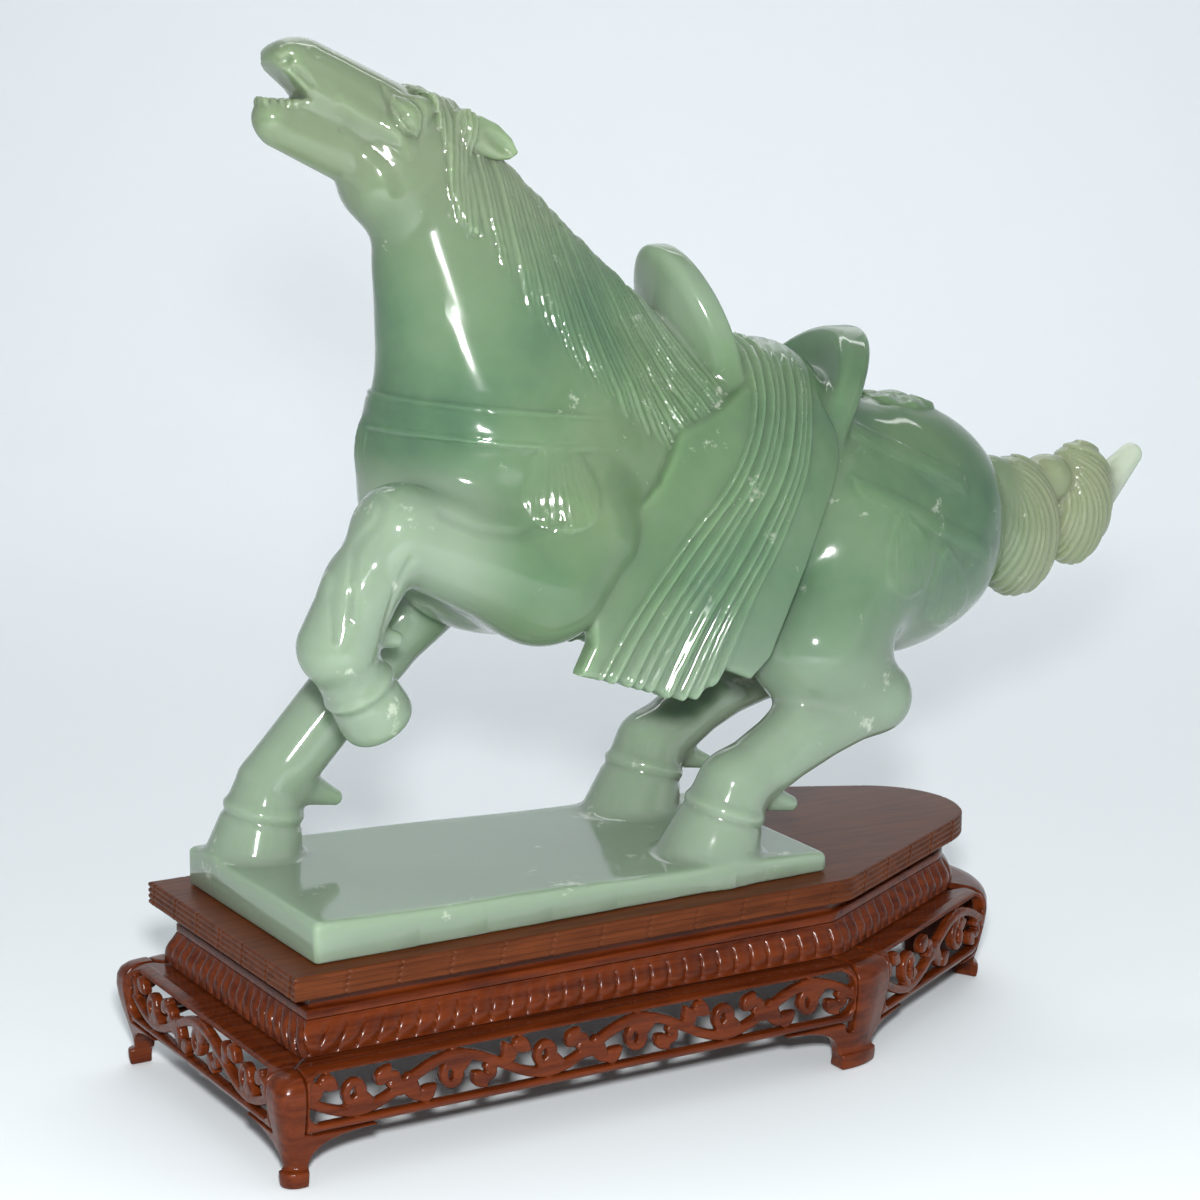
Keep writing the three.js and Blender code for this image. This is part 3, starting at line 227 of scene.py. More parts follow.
# A ridge over the cheek, a groove along the jaw and the fold before the eye: line, half width and depth
HEAD_CREASES = (
    (((37.0, 277.2), (45.5, 272.4), (51.5, 268.6), (54.4, 264.4)), 3.4, -0.9),
    (((38.5, 271.0), (45.0, 266.0), (49.5, 260.5), (51.0, 254.0)), 3.0, 0.6),
    (((49.2, 281.2), (49.6, 277.8), (53.0, 272.6), (55.6, 268.8)), 1.3, 0.6),
)
EYE = (54.4, 273.6)
EYE_TURN = -62.0


def crease(u, v, points, half_width):
    """1 on the line, falling to 0 at half_width from it."""
    return 1 - smoothstep(0, half_width, line_distance(u, v, points))


def eye_relief(x, z):
    """How far the eye stands proud: a lidded almond under a brow."""
    c, s = cos(radians(EYE_TURN)), sin(radians(EYE_TURN))
    along = c * (x - EYE[0]) + s * (z - EYE[1])
    across = -s * (x - EYE[0]) + c * (z - EYE[1])
    almond = np.abs(across) / 2.3 + (along / 5.4) ** 2
    eyeball = 1.1 * np.sqrt(np.clip(1 - almond**2, 0, 1))
    return eyeball + bell(almond, 1.22, 0.2) - 0.7 * bell(almond, 1.8, 0.35)


def head(x, y, z):
    side = np.abs(y)
    flank = smoothstep(5, 8, side)
    d = built(x, side, z, HEAD)
    for line, half_width, depth in HEAD_CREASES:
        d = d + depth * crease(x, z, line, half_width) * flank
    d = trim(d, -outline_distance(x, z, MOUTH), 1.5)
    d = d - eye_relief(x, z) * smoothstep(8, 10, side)
    for line in NOSTRIL_CREASES:
        d = d + 0.7 * crease(x, z, line, 1.4) * smoothstep(3.5, 5.5, side)
    d = trim(d, -ball(x, side, z, *NOSTRIL), 0.6)
    return join(d, teeth(x, side, z), 0.4)


TOOTH_PITCH = 2.0
TOOTH_COUNT = 5


def teeth(x, side, z):
    """Two short rows of teeth along the lower jaw, meeting in front."""
    start, rise = 18.0, 0.12
    step = np.clip(np.round((x - start) / TOOTH_PITCH), 0, TOOTH_COUNT - 1)
    cx = start + TOOTH_PITCH * step
    cy = 2.6 + 0.45 * step
    row = length((x - cx) / 1.05, (side - cy) / 1.3, (z - 277.2 + rise * step) / 1.5) - 1.0
    front = length((x - 17.4) / 1.0, (side - 1.0) / 1.1, (z - 277.3) / 1.6) - 1.0
    return np.minimum(row, front)


EAR_OUTLINE = [
    (71, 273.2), (76.6, 273.4), (81.2, 271), (84.6, 267.4), (86.6, 263.2), (84.2, 261.4), (80.6, 261.4),
    (76.6, 262.8), (72, 265.6), (69, 269),
]
EAR_PLACE = 12.4
EAR_SPLAY = 0.3


def ears(x, y, z):
    """Laid back, each a pointed leaf, domed, with a hollow along its outer side."""
    side = np.abs(y)
    edge = outline_distance(x, z, EAR_OUTLINE)
    dome = 0.9 + 1.9 * np.sqrt(np.clip(-edge / 5, 0, 1))
    leaf = trim(edge, np.abs(side - EAR_PLACE - EAR_SPLAY * (x - 80)) - dome, 1.4)
    hollow = ball(x, side, z, (79.6, 16.4, 266.4), (6.0, 3.0, 2.4), 38)
    root = rod(x, side, z, (69, 6, 268), 4.0, (76.5, 10, 267.3), 2.8)
    return join(trim(leaf, -hollow, 0.8), root, 2)


# Mane: fine strands fall from the crest, in a few broad locks, down both sides of the neck

MANE_EDGE = [
    (62, 284), (84, 279), (100, 262), (154, 222), (152, 200), (141, 181), (134, 173.5), (124, 182.5),
    (111, 192), (99, 202.5), (88, 215.5), (80, 229.5), (73.5, 240.5), (66, 244), (61, 262),
]
MANE_RISE = 2.4
MANE_TAPER = 9.0
LOCK_PITCH = 8.6
LOCK_DEPTH = 0.5
STRAND_PITCH = 1.9
STRAND_DEPTH = 1.1


def mane_coordinate(x, z):
    """Grows across the strands, which lean back more towards the withers."""
    lean = 0.12 + 0.36 * smoothstep(80, 145, x)
    return x + lean * (z - 200)


def mane(x, y, z, neck_distance):
    edge = outline_distance(x, z, MANE_EDGE)
    across = mane_coordinate(x, z) + 1.1 * wander(x, y, z, 40) + 0.35 * wander(x, y, z, 15, 4.0)
    lock = bump_lines(across + 1.2 * wander(x, y, z, 60, 2.0), LOCK_PITCH, 0.8)
    strand = strands(across, STRAND_PITCH)
    ragged = edge + 2.0 * (1 - bump_lines(across, LOCK_PITCH * 0.5))
    rise = MANE_RISE * (0.35 + 0.65 * smoothstep(0, MANE_TAPER, -edge))
    surface = neck_distance - rise + LOCK_DEPTH * (1 - lock) + STRAND_DEPTH * (1 - strand)
    return trim(surface, ragged, 1.2)


FORELOCK_EDGE = [
    (58, 281.5), (62.8, 277.8), (64.6, 264.4), (65.8, 251.2), (69.4, 242.6), (73.4, 241.0), (73.6, 257.6),
    (74.2, 266), (75.5, 273), (71, 283),
]
FORELOCK_RISE = 2.1


def forelock(x, y, z, head_distance):
    """A tuft between the ears, and a flat lock of strands that falls over each cheek."""
    tuft = rod(x, y, z, (69.5, -2, 271.5), 6.6, (74, -1, 266), 7.8)
    strand = strands(x - 0.1 * (z - 250) + 0.5 * wander(x, y, z, 22), 1.7)
    edge = outline_distance(x, z, FORELOCK_EDGE)
    lock = trim(head_distance - FORELOCK_RISE, edge, 1.2)
    return join(tuft, lock, 1.5) + 1.0 * (1 - strand)


# Legs: each is a chain of rods from the body to the hoof

# How far down a hoof its coronet lies, as a share of the hoof
CORONET_PLACE = 0.24


def chain(x, y, z, joints, k):
    d = None
    for (a, ra), (b, rb) in zip(joints[:-1], joints[1:]):
        link = rod(x, y, z, a, ra, b, rb)
        d = link if d is None else join(d, link, k)
    return d


def hoof(x, y, z, top, top_radius, sole, sole_radius, rounding=2):
    """A cone frustum from the coronet down to a flat sole, with a low ridge round the coronet."""
    axis = np.subtract(sole, top)
    reach = float(np.linalg.norm(axis))
    along = ((x - top[0]) * axis[0] + (y - top[1]) * axis[1] + (z - top[2]) * axis[2]) / reach
    t = np.clip(along / reach, 0, 1)
    off = length(x - top[0] - t * axis[0], y - top[1] - t * axis[1], z - top[2] - t * axis[2])
    coronet = CORONET_PLACE * reach
    ring = 0.7 * bell(along, coronet, 1.5) - 0.45 * bell(along, coronet + 2.6, 1.0)
    return trim(off - mix(top_radius, sole_radius, t) - ring, along - reach, rounding)


NEAR_KNEE = (44.5, -24, 165)
NEAR_FETLOCK = (26.5, -23, 135)
FAR_KNEE = (59, 23, 121)
FAR_FETLOCK = (33, 25, 92)
SHIN_GROOVES = (
    ((36, 175), (31.5, 168.6), (25.5, 158), (22.8, 148.5), (21.4, 139)),
    ((37.6, 174.8), (35.3, 169.7), (30, 161.8), (27, 153.7), (25.8, 144)),
    ((42, 160), (38.5, 152), (36.5, 144), (35.5, 137)),
)
GROOVE_DEPTH = 0.5
FOREARM_GROOVE = ((52, 170), (62, 165), (74, 163), (86, 166))


def fore_legs(x, y, z):
    near = chain(x, y, z, [((97, -20, 160), 22), ((88, -23, 149), 18.5), (NEAR_KNEE, 12.5)], 6)
    shin = chain(x, y, z, [(NEAR_KNEE, 11.8), ((33, -23.5, 150), 10), (NEAR_FETLOCK, 11)], 3)
    near = join(near, shin, 3)
    near = join(near, rod(x, y, z, (34, -23, 138), 4, (43.5, -23, 135.5), 2.3), 3)
    for line in SHIN_GROOVES:
        near = near + GROOVE_DEPTH * crease(x, z, line, 1.3)
    near = near + GROOVE_DEPTH * crease(x, z, FOREARM_GROOVE, 2.5)
    near = join(near, hoof(x, y, z, (30.5, -22, 127.5), 9.3, (41.2, -20.8, 110.4), 10.6, 6), 2)
    far = chain(x, y, z, [
        ((92, 22, 158), 20), ((84, 23, 144), 13.5), (FAR_KNEE, 9.8), (FAR_FETLOCK, 9.6),
    ], 4)
    far = join(far, rod(x, y, z, (36, 25, 85), 6, (48, 26, 79.5), 2.4), 3)
    far = join(far, hoof(x, y, z, (28, 26.5, 86), 9.5, (21.6, 27.8, SLAB_TOP_LEFT - 9.3), 15.6), 3)
    return np.minimum(near, far)


THIGH = [((200, 12, 146), 29), ((181, 23, 119), 18), ((199, 28, 103), 10.5)]
HIND_CANNON = [((199, 28, 102), 9.2), ((172, 28, 95), 9.5), ((150, 27, 81), 9.8)]
FAR_HIND_SHIFT = 5


def hind_leg(x, y, z, shift, side):
    across, along = y * side, x - shift
    leg = join(chain(along, across, z, THIGH, 8), chain(along, across, z, HIND_CANNON, 3), 5)
    leg = join(leg, rod(along, across, z, (158, 27, 78), 5, (170, 27, 73.5), 2.3), 3)
    tendon = rod(along, across, z, (196, 31, 99), 3.2, (164, 31.5, 86), 3.2)
    leg = join(leg, tendon, 6)
    return join(leg, hoof(along, across, z, (150, 27, 82), 10, (140.8, 25.2, 55.5), 16.4), 3)


def hind_legs(x, y, z):
    return np.minimum(hind_leg(x, y, z, 0, -1), hind_leg(x, y, z, FAR_HIND_SHIFT, 1))


# Tail: two curled locks and a flicked tip, their hair combed round each curl

TAIL_LOCKS = (
    ((274, 3, 142.5), (16.5, 13, 23), -6),
    ((302, 7, 147), (13.5, 11, 20.5), 6),
)
TAIL_FANS = ((259, 163), (287, 163))
TAIL_STRAND_ANGLE = radians(6.5)


def combed_curl(x, y, z, lock, fan):
    """A fat lock; its strands spread from `fan`, curving as they go."""
    d = ball(x, y, z, *lock)
    u, v = x - fan[0], z - fan[1]
    radius = length(u, v) + 0.25 * np.abs(y - lock[0][1])
    angle = np.arctan2(v, u) + 0.03 * radius
    strand = strands(angle, TAIL_STRAND_ANGLE)
    return d + 0.9 * (1 - strand) * smoothstep(4, 14, radius)


TAIL = (
    (ball, 0, (262, 2, 150), (14, 10, 16)),
    (combed_curl, 1.5, TAIL_LOCKS[0], TAIL_FANS[0]),
    (ball, 1.5, (288, 5, 156), (9, 8, 8)),
    (combed_curl, 1.2, TAIL_LOCKS[1], TAIL_FANS[1]),
    (rod, 1.5, (312, 8, 149), 6.4, (325.6, 8, 160.6), 3.8),
)


def tail(x, y, z):
    return built(x, y, z, TAIL)


# Saddle: two upright arches and the seat between them


def arch(x, y, z, foot, half_width, height, thick, lean, sweep):
    """An upright plate with a round top; its two ends sweep back when `sweep` is positive."""
    up = z - foot[1]
    aside = y / half_width
    along = x - foot[0] - lean * up - sweep * aside * aside
    rise = np.sqrt(np.clip(1 - aside**2, 0, 1))
    face = length(aside, np.maximum(up, 0) / height) - 1
    plate = trim(face * min(half_width, height), np.abs(along) - thick * (0.6 + 0.4 * rise), 3.5)
    return np.maximum(plate, -4 - up)


def saddle(x, y, z):
    pommel = arch(x, y, z, (147.5, 193), 23.5, 43, 5.0, -0.17, 7)
    cantle = arch(x, y, z, (191, 180), 27, 29.5, 6.0, 0.45, -7)
    seat = ball(x, y, z, (170, 0, 186), (24, 27, 22))
    return join(join(pommel, seat, 6), cantle, 6)


# Saddle cloth: hangs over both flanks; its folds fan from the seat to the hem

CLOTH_TOP = [(152, 240), (155, 198), (144, 192)]
CLOTH_REAR = [
    (155.5, 121), (161, 131), (168, 144), (174, 155.5), (180, 167), (183.3, 175), (183.8, 182), (181, 190),
    (186, 240),
]
CLOTH_OUTLINE = [
    *CLOTH_TOP, (130, 187), (121, 173), (111, 164), (101, 152), (96, 144), (98, 137), (98, 130), (93.5, 122),
    (103, 119), (115, 115), (124, 111.5), (132, 111.3), (137.5, 115.5), (140, 119), (148.5, 115.2),
    *CLOTH_REAR,
]
FAR_CLOTH_OUTLINE = [
    *CLOTH_TOP, (132, 180), (120, 155), (114, 138), (113, 130), (118, 123), (127, 115.5), (140, 113.3),
    (149, 114), *CLOTH_REAR,
]
CLOTH_THICKNESS = 3.2
CLOTH_WALL = 6.5
FOLD_COUNT = 8
FAR_FOLD_COUNT = 5
FOLD_HEIGHT = 1.7
FOLD_UNEVEN = 0.022
FOLD_WANDER = 0.008
FOLD_FRONT = curve_through([(112, 94), (135, 110), (155, 127), (172, 142), (188, 152), (207, 160)])
FOLD_BACK = curve_through([(112, 136), (135, 147), (155, 160), (172, 168), (188, 174), (207, 184)])
WIDEST_LEVEL = 163
CLOTH_FLARE = 0.03


def drape_form(x, y, z):
    """The form the cloth is laid on: the trunk, carried straight down below its widest line."""
    hung = np.maximum(z, WIDEST_LEVEL)
    return built(x, y, hung, TRUNK) - CLOTH_FLARE * (hung - z)


def cloth(x, y, z):
    near = y < 0
    edge = np.where(near, outline_distance(x, z, CLOTH_OUTLINE), outline_distance(x, z, FAR_CLOTH_OUTLINE))
    front, back = FOLD_FRONT(z), FOLD_BACK(z)
    across = (x - front) / (back - front) + FOLD_WANDER * wander(x, y, z, 60)
    across = across + FOLD_UNEVEN * np.sin(2 * pi * across * 2.3 + 0.6)
    in_folds = smoothstep(-0.06, 0.02, across) * (1 - smoothstep(0.98, 1.05, across))
    count = np.where(near, FOLD_COUNT, FAR_FOLD_COUNT)
    crest = (0.5 + 0.5 * np.cos(2 * pi * count * across)) ** 1.5
    form = drape_form(x, y, z)
    swell = 0.5 * wander(x, y, z, 46, 1.3) * (1 - in_folds)
    height = FOLD_HEIGHT * (0.75 + 0.25 * np.sin(2 * pi * across * 1.7))
    outer = form - CLOTH_THICKNESS - swell - in_folds * (0.3 + height * crest)
    wall = trim(outer, -(form + CLOTH_WALL - CLOTH_THICKNESS), 1)
    return trim(wall, edge + 0.8 * in_folds * (1 - crest), 2.0)


# Harness: the breast strap, the crupper straps and their tassels

STRAP_SEAM = 0.3


def strap_band(level, reach, z, body, half_width, rise):
    off = np.abs(z - level)
    seam = STRAP_SEAM * bell(off, half_width * 0.68, 0.45)
    return trim(trim(body - rise + seam, off - half_width, 0.8), reach, 1)


TASSEL_RISE = 1.1
TASSELS = (
    ((88, 177), 14, 0.0),
    ((202, 146), 13, 0.15),
    ((222, 133), 13, 0.3),
)
TASSEL_WIDTH = 0.72


def tassel(x, z, body, centre, size, lean):
    """Lies on the surface: a ringed knot above a drop-shaped skirt of combed hair."""
    aside, rise = x - centre[0], z - centre[1]
    across = aside + lean * rise
    up = rise / size
    width = size * TASSEL_WIDTH * np.sqrt(np.clip(1 - up * up, 0, 1)) * (1 - 0.35 * up)
    skirt = np.maximum(np.abs(across) - width, np.abs(rise) - size)
    knot = length(aside + lean * size, rise - size * 0.9) - size * 0.24
    swell = 0.6 * np.sqrt(np.clip(1 - (across / (width + 1.5)) ** 2, 0, 1))
    hair = 0.3 * (1 - strands(across / (1.1 - 0.3 * up), 1.6)) * (skirt < knot)
    ring = 0.5 * bell(knot, -0.17 * size, 0.5)
    return trim(body - TASSEL_RISE + 0.9 - swell + hair + ring, np.minimum(skirt, knot), 1.6)


CHEST_TASSEL = ((52, 5, 181), (5, 8, 13))


def harness(x, y, z, body):
    fading = 0.9 * (1 - smoothstep(92, 107, x))
    d = strap_band(194 - 0.11 * (x - 50), x - 108, z, body, 5, fading)
    d = np.minimum(d, strap_band(187 - 0.52 * (x - 184), np.abs(x - 205) - 24, z, body, 3.0, 0.6))
    d = np.minimum(d, strap_band(168 - 0.5 * (x - 186), np.abs(x - 214) - 26, z, body, 2.8, 0.6))
    for centre, size, lean in TASSELS:
        d = np.minimum(d, tassel(x, z, body, centre, size, lean))
    hanging = ball(x, y, z, *CHEST_TASSEL) + 0.4 * (1 - bump_lines(y, 1.8))
    return join(d, hanging, 1)


FLOWER_PLACE = 224


def croup_flower(x, y, z, body):
    """A raised flower on the croup: a low dome with petals around it."""
    u, v = x - FLOWER_PLACE, np.abs(y) * 1.1
    radius = length(u, v)
    angle = np.arctan2(v, u)
    petals = 1.3 + 0.5 * np.cos(8 * angle) * smoothstep(4, 8, radius)
    dome = 0.8 * bell(radius, 0, 4.0) - 0.5 * bell(radius, 5.4, 0.8)
    rays = 0.3 * (1 - bump_lines(angle, pi / 24)) * smoothstep(7, 9, radius)
    return trim(trim(body - petals - dome + rays, radius - 13, 1.2), 150 - z, 1)


# The slab: a plate that thins towards its right-hand end


def slab(x, y, z):
    t = np.clip((x - SLAB_LEFT) / (SLAB_RIGHT - SLAB_LEFT), 0, 1)
    top = mix(SLAB_TOP_LEFT, SLAB_TOP_RIGHT, t) + 0.35 * wander(x, y, z * 0, 70, 0.6)
    half = mix(SLAB_HALF_WIDTH, SLAB_RIGHT_HALF_WIDTH, t)
    middle = (SLAB_LEFT + SLAB_RIGHT) / 2
    sides = trim(np.abs(x - middle) - (SLAB_RIGHT - SLAB_LEFT) / 2, np.abs(y + 1) - half, 2.5)
    return trim(sides, z - top, 2.2)


# The whole stone


def fitted(place, d, form, box, margin, seam, *under):
    """Joins a form to d in place, worked out only for the points in its own box."""
    near = np.ones(d.shape, bool)
    for values, low, high in zip(place, *box):
        near &= (values > low - margin) & (values < high + margin)
    if near.any():
        own = form(*(values[near] for values in (*place, *under)))
        d[near] = join(d[near], own, seam)


HEAD_BOX = ((10, -26, 225), (95, 26, 300))
MANE_BOX = ((55, -45, 165), (160, 45, 285))
LEG_BOX = ((0, -54, 50), (235, 54, 185))
TAIL_BOX = ((240, -20, 110), (340, 30, 185))
SADDLE_BOX = ((120, -50, 100), (225, 50, 245))
CLOTH_BOX = ((85, -50, 103), (195, 50, 245))
HARNESS_BOX = ((40, -45, 100), (260, 45, 215))
SLAB_BOX = ((0, -50, 50), (185, 50, 75))
LIMB_MARGIN = 6
RELIEF_MARGIN = 4


def uneven(x, y, z):
    """The slight waviness that polishing by hand leaves."""
    return 0.3 * wander(x, y, z, 30, 0.4) + 0.12 * wander(x, y, z, 12, 2.2)


def stone(x, y, z):
    place = (x, y, z)
    bare = join(built(*place, TRUNK), built(*place, NECK), 12) - uneven(x, y, z)
    body = bare.copy()
    for form, box, seam in (
        (head, HEAD_BOX, 6), (ears, HEAD_BOX, 1.5), (fore_legs, LEG_BOX, 6), (hind_legs, LEG_BOX, 6),
        (tail, TAIL_BOX, 2.5),
    ):
        fitted(place, body, form, box, LIMB_MARGIN, seam)
    d = body.copy()
    for form, box, seam, *under in (
        (mane, MANE_BOX, 0.5, bare), (forelock, HEAD_BOX, 0.6, body), (saddle, SADDLE_BOX, 2),
        (harness, HARNESS_BOX, 0.5, body), (croup_flower, HARNESS_BOX, 0.5, body), (cloth, CLOTH_BOX, 0.4),
    ):
        fitted(place, d, form, box, RELIEF_MARGIN, seam, *under)
    fitted(place, d, slab, SLAB_BOX, LIMB_MARGIN, 3)
    return np.maximum(d, SLAB_BOTTOM - z)


# From a field to a mesh: blocks of grid cells near the surface, one point in each cell it crosses

BLOCK = 8
BATCH = 60
HALF_DIAGONAL = 0.87
FIELD_SLACK = 2.2


def grid(counts, pitch=1):
    """Every place of a grid with these counts, one to a row."""
    return np.stack(np.meshgrid(*(np.arange(n) * pitch for n in counts), indexing="ij"), -1).reshape(-1, 3)


LOCAL = grid([BLOCK + 1] * 3)


def read_field(field, low, step, cells):
    """The field's values at places of the grid, in the shape that the places have."""
    points = (low + step * cells).astype(np.float32)
    return field(*np.ascontiguousarray(points.reshape(-1, 3).T)).reshape(cells.shape[:-1])


def sample_blocks(field, low, high, step):
    """Grid starts and values of every block that the surface passes through."""
    blocks = np.ceil((high - low) / (step * BLOCK)).astype(int)
    starts = grid(blocks, BLOCK)
    reach = BLOCK * step * HALF_DIAGONAL + FIELD_SLACK
    starts = starts[np.abs(read_field(field, low, step, starts + BLOCK / 2)) < reach]
    values = np.empty((len(starts), len(LOCAL)), np.float32)
    for first in range(0, len(starts), BATCH):
        part = starts[first:first + BATCH, None]
        values[first:first + BATCH] = read_field(field, low, step, part + LOCAL)
    crossed = (values < 0).any(1) & (values >= 0).any(1)
    return starts[crossed], values[crossed].reshape(-1, *[BLOCK + 1] * 3), blocks


CORNERS = [(i, j, k) for i in (0, 1) for j in (0, 1) for k in (0, 1)]
EDGES = [(a, b) for a in range(8) for b in range(8) if a < b and bin(a ^ b).count("1") == 1]
AHEAD = [CORNERS.index(step) for step in ((1, 0, 0), (0, 1, 0), (0, 0, 1))]


def surface_mesh(field, low, high, step):
    """Closed mesh of the field's zero surface: points in millimetres, and four-cornered faces."""
    starts, values, blocks = sample_blocks(field, low, high, step)
    rows = blocks * BLOCK + 2
    strides = np.array([rows[1] * rows[2], rows[2], 1])
    inside = values < 0
    corners = [inside[:, i:BLOCK + i, j:BLOCK + j, k:BLOCK + k] for i, j, k in CORNERS]
    at = np.argwhere(np.logical_or.reduce(corners) & ~np.logical_and.reduce(corners))
    corner_values = [values[tuple((at + [0, *corner]).T)] for corner in CORNERS]
    offsets = np.array(CORNERS, np.float32)
    total = np.zeros((len(at), 3), np.float32)
    count = np.zeros(len(at), np.float32)
    for a, b in EDGES:
        va, vb = corner_values[a], corner_values[b]
        cut = (va < 0) != (vb < 0)
        t = np.where(cut, va / np.where(cut, va - vb, 1), 0)[:, None]
        total += (offsets[a] + t * (offsets[b] - offsets[a])) * cut[:, None]
        count += cut
    cell = starts[at[:, 0]] + at[:, 1:]
    points = low + step * (cell + total / count[:, None])
    key = cell @ strides
    order = np.argsort(key)
    sorted_keys = key[order]

    def vertex_at(wanted):
        found = np.searchsorted(sorted_keys, wanted).clip(0, len(order) - 1)
        return np.where(sorted_keys[found] == wanted, order[found], -1)

    faces = []
    here = corners[0]
    for axis, ahead in enumerate(AHEAD):
        edge = np.argwhere(here != corners[ahead])
        base = (starts[edge[:, 0]] + edge[:, 1:]) @ strides
        u, v = strides[(axis + 1) % 3], strides[(axis + 2) % 3]
        ring = np.stack([vertex_at(base - back) for back in (0, u, u + v, v)], 1)
        leaving = here[tuple(edge.T)]
        ring = np.where(leaving[:, None], ring, ring[:, ::-1])
        faces.append(ring[(ring >= 0).all(1)])
    return points, np.concatenate(faces)


def add_object(name, data):
    """An object that shows this data, in the scene."""
    added = bpy.data.objects.new(name, data)
    bpy.context.scene.collection.objects.link(added)
    return added


def mesh_object(name, points, faces):
    """A Blender object from points in millimetres of the stand's own frame."""
    mesh = bpy.data.meshes.new(name)
    placed = ((points + ORIGIN) * MM).astype(np.float32)
    mesh.vertices.add(len(placed))
    mesh.vertices.foreach_set("co", placed.ravel())
    mesh.loops.add(faces.size)
    mesh.loops.foreach_set("vertex_index", faces.astype(np.int32).ravel())
    mesh.polygons.add(len(faces))
    mesh.polygons.foreach_set("loop_start", np.arange(0, faces.size, faces.shape[1], dtype=np.int32))
    mesh.update(calc_edges=True)
    mesh.validate()
    return add_object(name, mesh)


def thinned(piece, triangles):
    """The piece with fewer triangles, kept where the surface bends."""
    now = sum(len(face.vertices) - 2 for face in piece.data.polygons)
    if now > triangles:
        modifier = piece.modifiers.new("thin", "DECIMATE")
        modifier.ratio = triangles / now
        depsgraph = bpy.context.evaluated_depsgraph_get()
        mesh = bpy.data.meshes.new_from_object(piece.evaluated_get(depsgraph))
        piece.modifiers.clear()
        piece.data = mesh
    piece.data.shade_smooth()
    return piece


# The stand's plan: a five-sided board with a rounded nose

PLAN = (
    ((0.0, -BOARD_HALF), 0.8),
    ((176.0, -BOARD_HALF), 14.0),
    ((287.5, 11.0), 28.0),
    ((209.5, BOARD_HALF), 14.0),
    ((0.0, BOARD_HALF), 0.8),
)
FRONT, RIGHT_FRONT, RIGHT_BACK, BACK, LEFT = range(5)
ROUND_CORNERS = (1, 2, 3)
SQUARE_CORNER_BLEND = 5.0


class Side:
    """One straight side of the plan: u runs along it, w outward from it."""

    def __init__(self, start, end):
        self.start = np.array(start)
        self.length = hypot(end[0] - start[0], end[1] - start[1])
        self.along = (np.array(end) - self.start) / self.length
        self.outward = np.array([self.along[1], -self.along[0]])

    def u(self, x, y):
        return (x - self.start[0]) * self.along[0] + (y - self.start[1]) * self.along[1]

    def w(self, x, y):
        return (x - self.start[0]) * self.outward[0] + (y - self.start[1]) * self.outward[1]


SIDES = [Side(PLAN[i][0], PLAN[(i + 1) % len(PLAN)][0]) for i in range(len(PLAN))]


def turn_at(corner):
    return acos(float(SIDES[corner - 1].along @ SIDES[corner % len(SIDES)].along))


def arc_middle(corner):
    """The centre of a rounded corner."""
    at, radius = PLAN[corner]
    before = SIDES[corner - 1]
    back = radius * tan(turn_at(corner) / 2)
    return np.array(at) - before.along * back - before.outward * radius


def plan_distance(x, y):
    """How far outside the board's plan a point lies; inside it is negative."""
    w = SIDES[0].w(x, y)
    for side in SIDES[1:]:
        w = np.maximum(w, side.w(x, y))
    for a, b in ((SIDES[LEFT], SIDES[FRONT]), (SIDES[BACK], SIDES[LEFT])):
        wa, wb = a.w(x, y), b.w(x, y)
        w = np.maximum(w, trim(wa, wb, SQUARE_CORNER_BLEND))
    for corner in ROUND_CORNERS:
        middle = arc_middle(corner)
        dx, dy = x - middle[0], y - middle[1]
        past = dx * SIDES[corner - 1].along[0] + dy * SIDES[corner - 1].along[1] > 0
        past &= dx * SIDES[corner].along[0] + dy * SIDES[corner].along[1] < 0
        w = np.where(past, length(dx, dy) - PLAN[corner][1], w)
    return w


def plan_loop(offset, per_side, per_corner):
    """Points round the plan; each offset gives the same number of points, so loops can be skinned."""
    arcs = []
    for corner, (at, radius) in enumerate(PLAN):
        before, after = SIDES[corner - 1], SIDES[corner]
        scale = offset / (1 + float(before.outward @ after.outward))
        tip = np.array(at) + scale * (before.outward + after.outward)
        if per_corner[corner] == 0:
            arcs.append(tip[None])
            continue
        rounded = max(radius + offset, 1)
        turn = turn_at(corner)
        middle = tip - before.along * rounded * tan(turn / 2) - before.outward * rounded
        start = atan2(before.outward[1], before.outward[0])
        angle = start + turn * np.arange(per_corner[corner] + 1) / per_corner[corner]
        arcs.append(middle + rounded * np.stack([np.cos(angle), np.sin(angle)], 1))
    points = []
    for corner, arc in enumerate(arcs):
        t = (np.arange(1, per_side[corner]) / per_side[corner])[:, None]
        points += [arc, mix(arc[-1], arcs[(corner + 1) % len(arcs)][0], t)]
    return np.concatenate(points)


def skin(rows, closed):
    """A mesh over rows of loops, shape (rows, points, 3); the ends are capped if it isn't closed."""
    count, per_row = rows.shape[:2]
    i = np.arange(per_row)
    faces = []
    for j in range(count if closed else count - 1):
        a, b = j * per_row, (j + 1) % count * per_row
        faces.append(np.stack([a + i, a + (i + 1) % per_row, b + (i + 1) % per_row, b + i], 1))
    return rows.reshape(-1, 3), np.concatenate(faces)


SHARP_ANGLE = radians(48)


def skinned_piece(name, rows, closed, material, replaced):
    piece = mesh_object(name, *skin(rows, closed))
    work = bmesh.new()
    work.from_mesh(piece.data)
    if not closed:
        bmesh.ops.holes_fill(work, edges=work.edges, sides=0)
    bmesh.ops.recalc_face_normals(work, faces=work.faces)
    work.to_mesh(piece.data)
    work.free()
    piece.data.shade_smooth()
    piece.data.set_sharp_from_angle(angle=SHARP_ANGLE)
    return dressed(piece, material, replaced)


def dressed(piece, material, replaced):
    piece.data.materials.clear()
    piece.data.materials.append(material)
    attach(piece, "root")
    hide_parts(replaced)
    return piece


